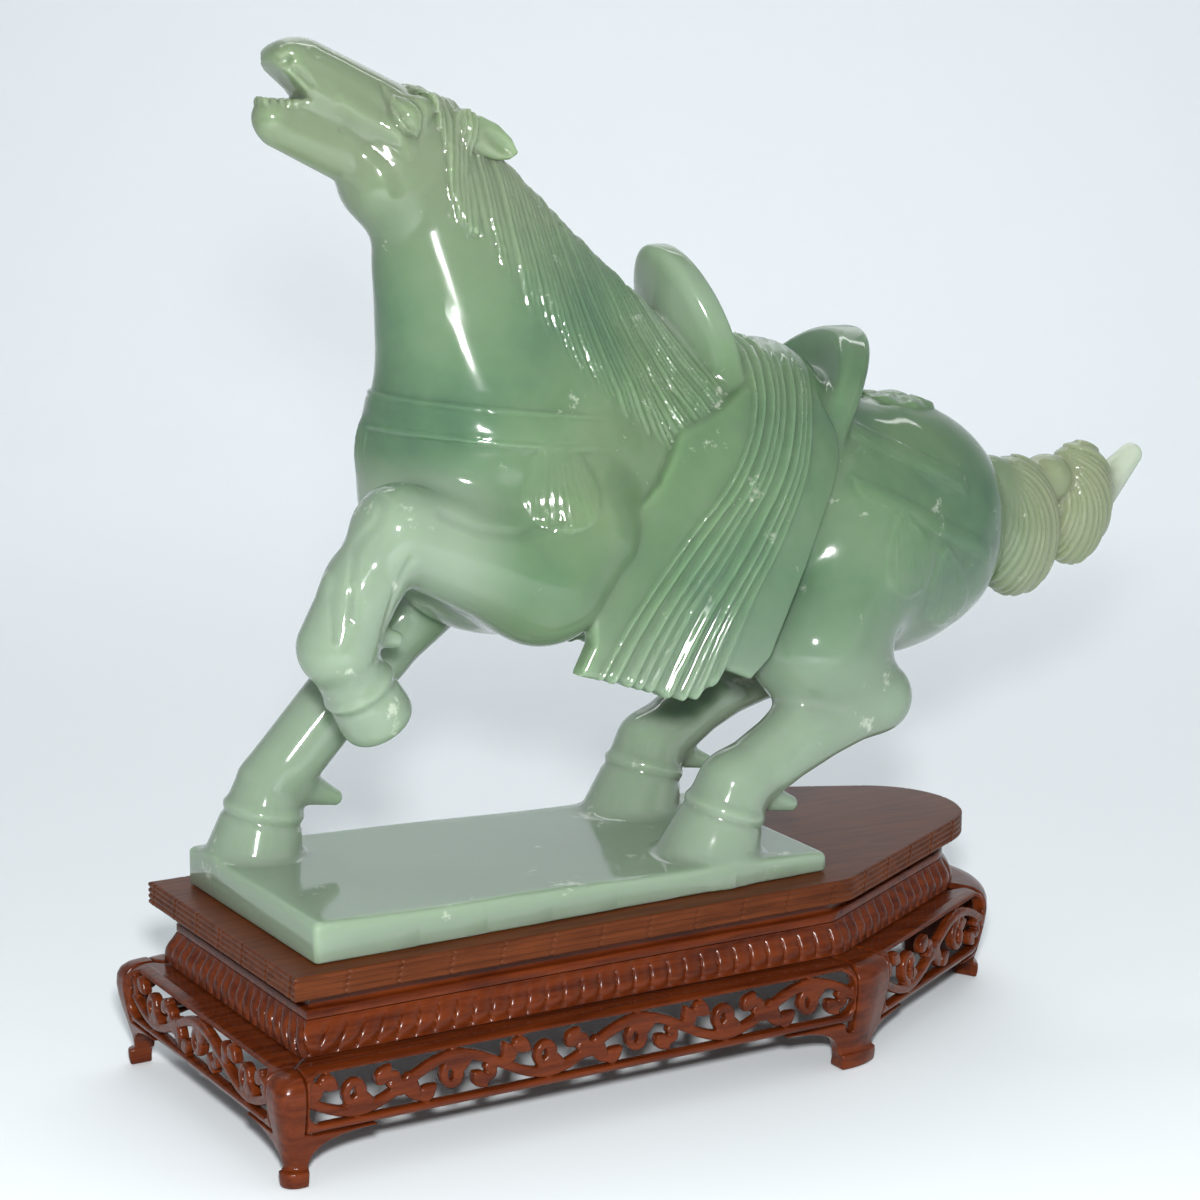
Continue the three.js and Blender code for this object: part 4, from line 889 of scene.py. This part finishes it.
def lifted(loop, z):
    return np.concatenate([loop, np.broadcast_to(np.reshape(z, (-1, 1)), (len(loop), 1))], 1)


# Top board: its edge is reeded like a bundle of canes, each with its nodes

REED_DEPTH = 0.75
REED_ROWS = 7
NODE_PITCH = 15.5
NODE_DEPTH = 0.35
NODE_WIDTH = 0.45
NODE_STAGGER = 0.13
BOARD_EDGE = 0.05
BOARD_RIM = 0.4
EDGE_STEP = 0.4


def fine_counts(step):
    """How many points each side and each rounded corner gets at about this spacing."""
    per_side = [max(int(side.length / step), 2) for side in SIDES]
    per_corner = [0] * len(PLAN)
    for corner in ROUND_CORNERS:
        per_corner[corner] = max(int(PLAN[corner][1] * turn_at(corner) / step), 4)
    return per_side, per_corner


def run_along(loop):
    """The distance walked round a loop up to each of its points."""
    step = np.linalg.norm(np.roll(loop, -1, 0) - loop, axis=1)
    return np.concatenate([[0], np.cumsum(step)[:-1]])


def make_board():
    counts = fine_counts(EDGE_STEP)
    outer = plan_loop(-BOARD_EDGE, *counts)
    inner = plan_loop(-BOARD_EDGE - REED_DEPTH, *counts)
    rim = plan_loop(-BOARD_EDGE - REED_DEPTH - BOARD_RIM, *counts)
    run = run_along(outer)
    reed = BOARD_THICKNESS / REED_COUNT
    rows = [lifted(rim, BOARD_TOP)]
    for i in range(REED_COUNT):
        start = run[-1] * (NODE_STAGGER * i) + NODE_PITCH * (0.5 * i)
        off = np.abs((run - start + NODE_PITCH / 2) % NODE_PITCH - NODE_PITCH / 2)
        node = NODE_DEPTH * (bell(off, 0, NODE_WIDTH) - 0.5 * bell(off, 1.2, 0.6))
        for k in range(REED_ROWS):
            t = (k + 0.5) / REED_ROWS
            round_edge = np.sqrt(1 - (2 * t - 1) ** 2)
            share = np.clip(round_edge - node, 0, 1)[:, None]
            rows.append(lifted(mix(inner, outer, share), BOARD_TOP - (i + t) * reed))
    rows.append(lifted(rim, BOARD_TOP - BOARD_THICKNESS))
    return skinned_piece("board", np.stack(rows), False, BOARD_WOOD, "stand_top_board")


# Waist and shoulder: a plain inset band over a sloping band of round ribs

WAIST_INSET = 8.0
FRAME_WALL = 6.5
FRAME_INNER = -WAIST_INSET - FRAME_WALL
WAIST_TOP = BOARD_TOP - BOARD_THICKNESS - JOINT_GAP
SHOULDER_TOP = 41.0
SHOULDER_FOOT = 32.1
SHOULDER_INSET = 2.8
FILLET_TOP = 44.2
FILLET_STEP = 2.0
FILLET_OUT = -WAIST_INSET + FILLET_STEP
RIB_COUNTS = ([30, 14, 2, 19, 19], [0, 1, 8, 1, 0])
RIB_POINTS = 14
RIB_ROWS = 16
RIB_DEPTH = 1.25
RIB_SWELL = 1.25
RIB_LEAN = 0.8
RIB_LEAN_RUN = 40.0
RIB_FULLNESS = 0.4


def make_waist():
    counts = fine_counts(EDGE_STEP * 3)
    bottom = SHOULDER_TOP + JOINT_GAP
    profile = [(-WAIST_INSET, WAIST_TOP), (-WAIST_INSET, FILLET_TOP + 0.5)]
    for angle in np.linspace(0, pi / 2, 5):
        out = FILLET_STEP * (1 - cos(angle)) * 0.5
        profile.append((out - WAIST_INSET, FILLET_TOP + 0.5 - 0.9 * sin(angle)))
    profile += [
        (FILLET_OUT - 0.3, FILLET_TOP - 0.5), (FILLET_OUT, FILLET_TOP - 0.9), (FILLET_OUT, bottom),
        (FRAME_INNER, bottom), (FRAME_INNER, WAIST_TOP),
    ]
    rows = [lifted(plan_loop(offset, *counts), z) for offset, z in profile]
    return skinned_piece("waist", np.stack(rows), True, STAND_WOOD, "stand_waist")


def rib_rise(loop, phase, t):
    """1 on the crown of each rib, 0 in the grooves; ribs lean near the square corners."""
    x, y = loop.T
    left = SIDES[LEFT]
    lean = -RIB_LEAN * np.exp(-np.maximum(SIDES[FRONT].u(x, y), 0) / RIB_LEAN_RUN)
    left_lean = RIB_LEAN * np.exp((left.u(x, y) - left.length) / RIB_LEAN_RUN)
    lean = np.where(left.w(x, y) > -WAIST_INSET, left_lean, lean)
    return np.abs(np.sin(pi * (phase - lean * (t - 0.5)))) ** RIB_FULLNESS


def make_shoulder():
    counts = [[count * RIB_POINTS for count in group] for group in RIB_COUNTS]
    inner = plan_loop(FRAME_INNER, *counts)
    phase = np.arange(len(inner)) / RIB_POINTS
    rows = []
    for k in range(RIB_ROWS + 1):
        t = k / RIB_ROWS
        offset = mix(FILLET_OUT, -SHOULDER_INSET, t) + RIB_SWELL * sin(pi * t)
        depth = RIB_DEPTH * min(1, 3.5 * t, 6 * (1 - t) + 0.25)
        crest = plan_loop(offset, *counts)
        groove = plan_loop(offset - depth, *counts)
        ribbed = mix(groove, crest, rib_rise(crest, phase, t)[:, None])
        rows.append(lifted(ribbed, mix(SHOULDER_TOP, SHOULDER_FOOT, t)))
    rows += [lifted(inner, SHOULDER_FOOT), lifted(inner, SHOULDER_TOP)]
    return skinned_piece("shoulder", np.stack(rows), True, STAND_WOOD, "stand_shoulder")


# Apron: a swelling frame on five feet, its windows filled with scrolling vines

APRON_TOP = 31.8
APRON_LEDGE = 9.0
APRON_BAR = 2.4
APRON_SECTION = [
    (-APRON_LEDGE, APRON_TOP), (2.2, APRON_TOP), (4.3, 31.4), (6.2, 30.6), (7.6, 29.3), (8.4, 27.4),
    (8.6, 24.6), (8.2, 21), (7.4, 17), (6.3, 12.4), (5.5, 9), (5.1, 6.4), (5.0, 5.2), (5.5, 4.9), (6.5, 4.5),
    (6.4, 2.4), (6.0, 0.1), (-0.4, 0.1), (-0.2, 2), (1.0, 6.5), (2.4, 12), (3.5, 17.5), (4.3, 24),
    (3.4, 28.6), (2, 29.8), (-APRON_LEDGE, 29.8),
]
WINDOW_TOP = 30.2
WINDOW_BORDER = 0.8
WINDOW_CORNER = 4.0
BEAD_PLACE = 0.9
BEAD_HEIGHT = 0.3
BRACKET_RUN = 20.0
FOOT_NECK = 5.2
BRACKET_CURVE = [
    (0, 0), (0.03, 0.2), (0.1, 0.42), (0.2, 0.61), (0.34, 0.75), (0.5, 0.84), (0.72, 0.91), (1, 0.95),
]
NOSE_RUN = PLAN[2][1] * tan(turn_at(2) / 2)
STAND_STEP = 0.5

# One panel to each side, and one leg to each corner, before the side of the same number. A foot runs from
# its place on the side before the corner to its place on the side after it.
Panel = namedtuple("Panel", "name start end low units")
Leg = namedtuple("Leg", "name foot_from foot_to")
PANELS = (
    Panel("front", -0.5, SIDES[FRONT].length - 2.5, 17, 6),
    Panel("right_front", 10, SIDES[RIGHT_FRONT].length - NOSE_RUN + 9.5, 14, 2),
    Panel("right_back", NOSE_RUN - 1.5, SIDES[RIGHT_BACK].length - 10, 14, 1),
    Panel("back", 4, SIDES[BACK].length - 1, 17, 4),
    Panel("left", 1, SIDES[LEFT].length - 1, 17, 3),
)
LEGS = (
    Leg("front_left", SIDES[LEFT].length + 1.6, 0.5),
    Leg("front_right", SIDES[FRONT].length - 6, 5.5),
    Leg("nose", SIDES[RIGHT_FRONT].length - NOSE_RUN + 15.5, NOSE_RUN - 15.5),
    Leg("back_right", SIDES[RIGHT_BACK].length - 6, 6.5),
    Leg("back_left", SIDES[BACK].length - 0.5, -1.6),
)


def apron(x, y, z):
    return outline_distance(plan_distance(x, y), z, APRON_SECTION)


def leg_field(corner):
    before, after = SIDES[corner - 1], SIDES[corner]
    panel_before, panel_after = PANELS[corner - 1], PANELS[corner]
    leg = LEGS[corner]
    under_before, under_after = (panel.low - APRON_BAR - JOINT_GAP for panel in (panel_before, panel_after))
    under = min(under_before, under_after)
    inner = -PLAN[corner][1] / 2

    def bracket(u, z, w, edge, sign, top):
        curve = [(edge + sign * run * BRACKET_RUN, mix(FOOT_NECK, top, rise)) for run, rise in BRACKET_CURVE]
        outline = [(edge - sign, top), (edge - sign, FOOT_NECK), *curve, (edge + sign * BRACKET_RUN, top)]
        return np.maximum(outline_distance(u, z, outline), inner - w)

    def field(x, y, z):
        u_before, u_after = before.u(x, y), after.u(x, y)
        post = np.maximum(panel_before.end + JOINT_GAP - u_before, u_after - panel_after.start + JOINT_GAP)
        post = np.maximum(post, under - 0.5 - z)
        foot = np.maximum(np.maximum(leg.foot_from - u_before, u_after - leg.foot_to), z - under)
        brackets = np.minimum(
            bracket(u_before, z, before.w(x, y), leg.foot_from, -1, under_before),
            bracket(u_after, z, after.w(x, y), leg.foot_to, 1, under_after),
        )
        return trim(apron(x, y, z), np.minimum(join(foot, brackets, 2), post), 0.5)

    return field


SHELL = 0.05
PANEL_TRIANGLES = 60000
LEG_TRIANGLES = 16000

# The vines of a panel: stems and curls as lines, leaves and flowers as flat shapes, all rounded over

VINE_RADIUS = 1.4
VINE_MIDDLE = 5.4
VINE_THICKNESS = 1.6
LEAF_LENGTH = 6.2
FLOWER_RADIUS = 3.0
CURL_TURNS = 1.45
# The leaves of each unit: their place, in widths and swings from its middle, and their turn in degrees
LEAVES = ((-0.43, 0.42, 90, 25), (0.27, 0.52, 50, 0), (-0.28, 0.62, -35, 0), (0.06, -0.55, -12, 0))


def spiral(middle, radius, start, sign, end_share=0.22, turns=CURL_TURNS, points=16):
    """A curl that winds in towards its middle."""
    t = np.linspace(0, 1, points)
    angle = start + sign * turns * pi * t
    r = radius * mix(1, end_share, t)
    return np.stack([middle[0] + r * np.cos(angle), middle[1] + r * np.sin(angle)], 1)


def vine_lines(start, end, low, high, units):
    """The stem, the curls, and the leaves and flowers of one panel, as (points, radius) and places."""
    middle = (low + high) / 2
    swing = (high - low) / 2 - VINE_RADIUS - 0.2
    width = (end - start) / units
    radius = min(swing * 0.86, width * 0.3)
    u = np.linspace(start, end, 10 * units + 1)
    lines = [(np.stack([u, middle - swing * np.sin(pi * (u - start) / width)], 1), VINE_RADIUS)]
    leaves, flowers = [], []
    for i in range(units):
        sign = 1 if i % 2 == 0 else -1
        centre = np.array([start + (i + 0.5) * width, middle + sign * 0.8])
        beside = centre + [width * 0.36, sign * swing * 0.28]
        lines.append((spiral(centre, radius, pi / 2 * sign + sign * pi * 0.95, -sign), VINE_RADIUS * 0.85))
        small = spiral(beside, radius * 0.5, -sign * pi * 0.6, sign, 0.3, 1.2, 10)
        lines.append((small, VINE_RADIUS * 0.7))
        for run, rise, turn, more in LEAVES:
            leaves.append((centre + [width * run, sign * swing * rise], radians(turn * sign + more)))
        if i % 2 == 1:
            flowers.append(centre + [-width * 0.5, 0.0])
    return lines, leaves, flowers


def vine_distance(u, z, lines, leaves, flowers):
    """The distance to the vines' rounded outline, in the panel's face."""
    best = np.full(u.shape, FAR_AWAY, np.float32)
    for points, radius in lines:
        tip = length(u - points[-1][0], z - points[-1][1]) - radius * 1.5
        best = np.minimum(best, np.minimum(line_distance(u, z, points) - radius, tip))
    for (cu, cz), turn in leaves:
        along = (u - cu) * cos(turn) + (z - cz) * sin(turn)
        across = -(u - cu) * sin(turn) + (z - cz) * cos(turn)
        t = np.clip(along / LEAF_LENGTH + 0.5, 0, 1)
        half = 2.0 * np.sin(pi * t**0.8) + 0.25
        reach = np.maximum(np.abs(along) - LEAF_LENGTH / 2, 0)
        best = np.minimum(best, length(reach, across) - half)
    for cu, cz in flowers:
        petals = 0.6 * np.cos(5 * np.arctan2(z - cz, u - cu))
        best = np.minimum(best, length(u - cu, z - cz) - FLOWER_RADIUS - petals)
    return best


def panel_field(index):
    _, start, end, low, units = PANELS[index]
    side = SIDES[index]
    depth = APRON_LEDGE + 3
    mitre_start, mitre_end = (
        min(depth * tan(turn_at(corner) / 2), (end - start) / 3) / depth for corner in (index, index + 1)
    )
    window_start, window_end = start + WINDOW_BORDER, end - WINDOW_BORDER
    middle_u, middle_z = (window_start + window_end) / 2, (low + WINDOW_TOP) / 2
    half_u, half_z = (window_end - window_start) / 2, (WINDOW_TOP - low) / 2
    vines = vine_lines(window_start, window_end, low, WINDOW_TOP, units)

    def window(u, z):
        du = np.abs(u - middle_u) - half_u + WINDOW_CORNER
        dz = np.abs(z - middle_z) - half_z + WINDOW_CORNER
        outside = length(np.maximum(du, 0), np.maximum(dz, 0))
        return outside + np.minimum(np.maximum(du, dz), 0) - WINDOW_CORNER

    def field(x, y, z):
        u, w = side.u(x, y), side.w(x, y)
        inset = np.clip(-w, 0, depth)
        ends = np.maximum(start + mitre_start * inset - u, u - end + mitre_end * inset)
        blank = trim(apron(x, y, z), np.maximum(ends, low - APRON_BAR - z), 0.4)
        opening = window(u, z)
        bead = bell(opening, BEAD_PLACE, 0.5) * (w > 2)
        d = trim(blank + BEAD_HEIGHT * (1 - bead), -opening, 0.5)
        off = np.abs(w - VINE_MIDDLE)
        near = (off < 4) & (opening < 3)
        if near.any():
            vine = trim(vine_distance(u[near], z[near], *vines), off[near] - VINE_THICKNESS, 1.0)
            d[near] = join(d[near], np.maximum(vine, opening[near] - 1.0), 0.5)
        return d

    return field


def field_box(name):
    """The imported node's own box, in the stand's frame, which its visual form stays inside."""
    return [np.array(corner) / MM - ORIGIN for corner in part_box(name)]


def boxed(field, low, high):
    def limited(x, y, z):
        d = field(x, y, z)
        for axis, value in enumerate((x, y, z)):
            d = np.maximum(d, np.maximum(low[axis] + SHELL - value, value - high[axis] + SHELL))
        return d

    return limited


def make_field_piece(name, field, material, node, step, triangles):
    low, high = field_box(node)
    points, faces = surface_mesh(boxed(field, low, high), low - 2 * step, high + 2 * step, step)
    piece = thinned(mesh_object(name, points, faces), triangles)
    return dressed(piece, material, node)


def make_stand_piece(name, field, node, triangles):
    return make_field_piece(name, field, STAND_WOOD, node, STAND_STEP, triangles)


# Materials

# The places of the mix node's colour sockets, which share their names with others
MIX_COLOR_A = 6
MIX_COLOR_B = 7
MIX_COLOR_RESULT = 2


class Tree:
    """A material's nodes, with short ways to add the kinds used here."""

    def __init__(self, name):
        self.material = bpy.data.materials.new(name)
        self.material.use_nodes = True
        self.nodes, self.links = self.material.node_tree.nodes, self.material.node_tree.links

    def fill(self, node, inputs):
        """Sets a node's inputs, each to a value or to another node's output."""
        for key, value in inputs.items():
            if isinstance(value, bpy.types.NodeSocket):
                self.links.new(value, node.inputs[key])
            else:
                node.inputs[key].default_value = value
        return node

    def add(self, kind, inputs, **settings):
        node = self.nodes.new("ShaderNode" + kind)
        for name, value in settings.items():
            setattr(node, name, value)
        return self.fill(node, inputs)

    def place(self):
        return self.add("TexCoord", {}).outputs["Object"]

    def noise(self, place, scale, detail, roughness):
        inputs = {"Vector": place, "Scale": scale, "Detail": detail, "Roughness": roughness}
        return self.add("TexNoise", inputs).outputs["Fac"]

    def remap(self, value, low, high, top=1.0, **settings):
        """0 to top as the value passes from low to high."""
        inputs = {"Value": value, "From Min": low, "From Max": high, "To Max": top}
        return self.add("MapRange", inputs, **settings).outputs["Result"]

    def ramp(self, factor, stops):
        node = self.add("ValToRGB", {"Fac": factor})
        elements = node.color_ramp.elements
        while len(elements) < len(stops):
            elements.new(0.5)
        for element, (position, color) in zip(elements, stops):
            element.position = position
            element.color = (*color, 1)
        return node.outputs["Color"]

    def blend(self, factor, color, tint):
        inputs = {"Factor": factor, MIX_COLOR_A: color, MIX_COLOR_B: (*tint, 1)}
        return self.add("Mix", inputs, data_type="RGBA").outputs[MIX_COLOR_RESULT]

    def finish(self, inputs):
        """The material, once its shader has these inputs."""
        self.fill(self.nodes["Principled BSDF"], inputs)
        return self.material


JADE_MIDDLE = (0.100, 0.176, 0.100)
JADE_DEEP = (0.060, 0.122, 0.072)
JADE_PALE = (0.205, 0.268, 0.195)
JADE_YELLOW = (0.124, 0.182, 0.082)
JADE_OLIVE = (0.225, 0.260, 0.155)
JADE_HEAD = (0.158, 0.204, 0.126)
JADE_TIP = (0.420, 0.460, 0.380)
JADE_WHITE = (0.700, 0.730, 0.620)
JADE_CLOUD = (0.14725, 0.2174, 0.14275)
JADE_SADDLE = (0.184, 0.2496, 0.176)

# Scale, detail and roughness of each noise
CLOUDS = (22.0, 4.0, 0.55)
PATCHES = (11.0, 3.0, 0.5)
FLECKS = (70.0, 6.0, 0.7)
GRAIN = (6.0, 8.0, 0.65)
GRAIN_STRETCH = (6.0, 60.0, 60.0)

# Where the stone's colour turns: along each axis, in metres, and the colour there
JADE_TINTS = (
    ((("X", -0.040, -0.020), ("Z", 0.196, 0.225)), JADE_SADDLE),
    ((("Z", 0.148, 0.095),), JADE_PALE),
    ((("X", -0.084, -0.106), ("Z", 0.186, 0.170)), JADE_PALE),
    ((("X", 0.085, 0.125),), JADE_OLIVE),
    ((("Z", 0.215, 0.265),), JADE_HEAD),
    ((("X", 0.148, 0.160),), JADE_TIP),
)


def jade_material():
    tree = Tree("jade")
    place = tree.place()
    clouds = [(0.30, JADE_DEEP), (0.52, JADE_MIDDLE), (0.75, JADE_CLOUD)]
    color = tree.ramp(tree.noise(place, *CLOUDS), clouds)
    color = tree.blend(tree.remap(tree.noise(place, *PATCHES), 0.42, 0.68, 0.6), color, JADE_YELLOW)
    split = tree.add("SeparateXYZ", {"Vector": place})
    for spans, tint in JADE_TINTS:
        parts = [
            tree.remap(split.outputs[axis], low, high, interpolation_type="SMOOTHSTEP")
            for axis, low, high in spans
        ]
        factor = parts[0]
        for part in parts[1:]:
            factor = tree.add("Math", {0: factor, 1: part}, operation="MULTIPLY").outputs[0]
        color = tree.blend(factor, color, tint)
    color = tree.blend(tree.remap(tree.noise(place, *FLECKS), 0.63, 0.80), color, JADE_WHITE)
    return tree.finish({
        "Base Color": color, "Roughness": 0.09, "IOR": 1.5, "Subsurface Weight": 0.85,
        "Subsurface Radius": (0.7, 1.0, 0.6), "Subsurface Scale": 0.014,
    })


def wood_material(name, dark, light, roughness, specular):
    tree = Tree(name)
    stretched = tree.add("Mapping", {"Vector": tree.place(), "Scale": GRAIN_STRETCH}).outputs["Vector"]
    grain = tree.noise(stretched, *GRAIN)
    bump = tree.add("Bump", {"Height": grain, "Strength": 0.25, "Distance": 0.0003})
    return tree.finish({
        "Base Color": tree.ramp(grain, [(0.32, dark), (0.62, light)]), "Roughness": roughness,
        "Specular IOR Level": specular, "Normal": bump.outputs["Normal"],
    })


JADE = jade_material()
STAND_WOOD = wood_material("stand wood", (0.042, 0.007, 0.002), (0.112, 0.021, 0.004), 0.22, 0.20)
BOARD_WOOD = wood_material("board wood", (0.052, 0.013, 0.004), (0.104, 0.027, 0.008), 0.40, 0.12)

# Every piece of the object

HORSE_STEP = 0.5
HORSE_TRIANGLES = 195000


def make_object():
    make_field_piece("horse_and_slab", stone, JADE, "jade_horse", HORSE_STEP, HORSE_TRIANGLES)
    make_board()
    make_waist()
    make_shoulder()
    for index, panel in enumerate(PANELS):
        node = f"stand_panel_{panel.name}"
        make_stand_piece(f"vines_{panel.name}", panel_field(index), node, PANEL_TRIANGLES)
    for corner, leg in enumerate(LEGS):
        make_stand_piece(f"foot_{leg.name}", leg_field(corner), f"stand_leg_{leg.name}", LEG_TRIANGLES)


make_object()

for name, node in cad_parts.items():
    node.data.materials.clear()
    node.data.materials.append(BOARD_WOOD if name == "stand_top_board" else STAND_WOOD)
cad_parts["jade_horse"].data.materials[0] = JADE

# Camera: fitted to the photograph, in the stand's own frame, in millimetres

VIEW_AZIMUTH = -30.688
VIEW_ELEVATION = 11.393
VIEW_ROLL = 0.171
VIEW_FOCAL = 2906.2
PHOTO_WIDTH = 1200
SENSOR_WIDTH = 36
VIEW_SIDE = 104.642
VIEW_HEIGHT = 143.640
VIEW_DISTANCE = 804.044

# The level directions as the camera sees them: towards it, and to its right
TURN = radians(VIEW_AZIMUTH)
TOWARD = Vector((sin(TURN), -cos(TURN), 0))
ASIDE = Vector((cos(TURN), sin(TURN), 0))
UP = Vector((0, 0, 1))


def seen_place(toward, aside, height):
    """A place in metres, measured from under the object's middle as the camera sees it."""
    return TOWARD * toward + ASIDE * aside + UP * height


def make_camera():
    e, r = radians(VIEW_ELEVATION), radians(VIEW_ROLL)
    back = TOWARD * cos(e) + UP * sin(e)
    right = UP.cross(back).normalized()
    up = back.cross(right)
    right, up = right * cos(r) + up * sin(r), up * cos(r) - right * sin(r)
    eye = right * VIEW_SIDE + up * VIEW_HEIGHT + back * VIEW_DISTANCE + Vector(ORIGIN)
    data = bpy.data.cameras.new("camera")
    data.lens = VIEW_FOCAL / PHOTO_WIDTH * SENSOR_WIDTH
    data.sensor_width = SENSOR_WIDTH
    data.clip_start = 0.01
    camera = add_object("camera", data)
    turn = Matrix((right, up, back)).transposed().to_4x4()
    camera.matrix_world = Matrix.Translation(eye * MM) @ turn
    bpy.context.scene.camera = camera


make_camera()

# Stage: a pale sheet that curves up behind, and soft studio lights

BACKDROP_WIDTH = 5.0
BACKDROP_FRONT = -5.0
BACKDROP_BEND = 1.2
BACKDROP_RADIUS = 0.45
BACKDROP_TOP = 3.0
BACKDROP_STEPS = 32
BACKDROP_LOOK = {"Base Color": (0.79, 0.83, 0.85, 1), "Roughness": 0.95, "Specular IOR Level": 0.1}


def make_stage():
    rows = [(BACKDROP_FRONT, 0.0)]
    for angle in np.linspace(0, pi / 2, BACKDROP_STEPS + 1):
        rows.append((BACKDROP_BEND + BACKDROP_RADIUS * sin(angle), BACKDROP_RADIUS * (1 - cos(angle))))
    rows.append((BACKDROP_BEND + BACKDROP_RADIUS, BACKDROP_TOP))
    ends = (-BACKDROP_WIDTH, BACKDROP_WIDTH)
    points = [seen_place(-depth, end, height) for depth, height in rows for end in ends]
    faces = [(2 * i, 2 * i + 1, 2 * i + 3, 2 * i + 2) for i in range(len(rows) - 1)]
    mesh = bpy.data.meshes.new("backdrop")
    mesh.from_pydata(points, [], faces)
    mesh.shade_smooth()
    mesh.materials.append(Tree("backdrop").finish(BACKDROP_LOOK))
    add_object("backdrop", mesh)


# Name, place, size in metres, power in watts, and the place it shines at
OBJECT_MIDDLE = (0, 0, 0.15)
LIGHTS = (
    ("key", (0.80, -0.03, 0.37), (0.05, 0.05), 9, OBJECT_MIDDLE),
    ("top", (0.25, 0, 1.3), (0.9, 0.9), 0.4, OBJECT_MIDDLE),
    ("wall", (-0.9, 0, 1.5), (2.0, 0.3), 11, (-1.65, 0, 0.35)),
    ("back", (-1.1, 0, 1.1), (1.0, 1.0), 2.2, OBJECT_MIDDLE),
    ("side", (0.3, 1.1, 0.5), (0.5, 0.9), 0.6, OBJECT_MIDDLE),
)
SKY_COLOR = (0.92, 0.96, 1.0, 1)
SKY_STRENGTH = 0.42


def make_lights():
    for name, place, size, power, aim in LIGHTS:
        data = bpy.data.lights.new(name, "AREA")
        data.shape = "RECTANGLE"
        data.size, data.size_y = size
        data.energy = power
        light = add_object(name, data)
        light.location = seen_place(*place)
        light.rotation_euler = (seen_place(*aim) - light.location).to_track_quat("-Z", "Y").to_euler()
    world = bpy.data.worlds.new("studio")
    world.use_nodes = True
    sky = world.node_tree.nodes["Background"]
    sky.inputs["Color"].default_value = SKY_COLOR
    sky.inputs["Strength"].default_value = SKY_STRENGTH
    bpy.context.scene.world = world


make_stage()
make_lights()
bpy.context.scene.view_settings.view_transform = "Standard"
bpy.context.view_layer.update()
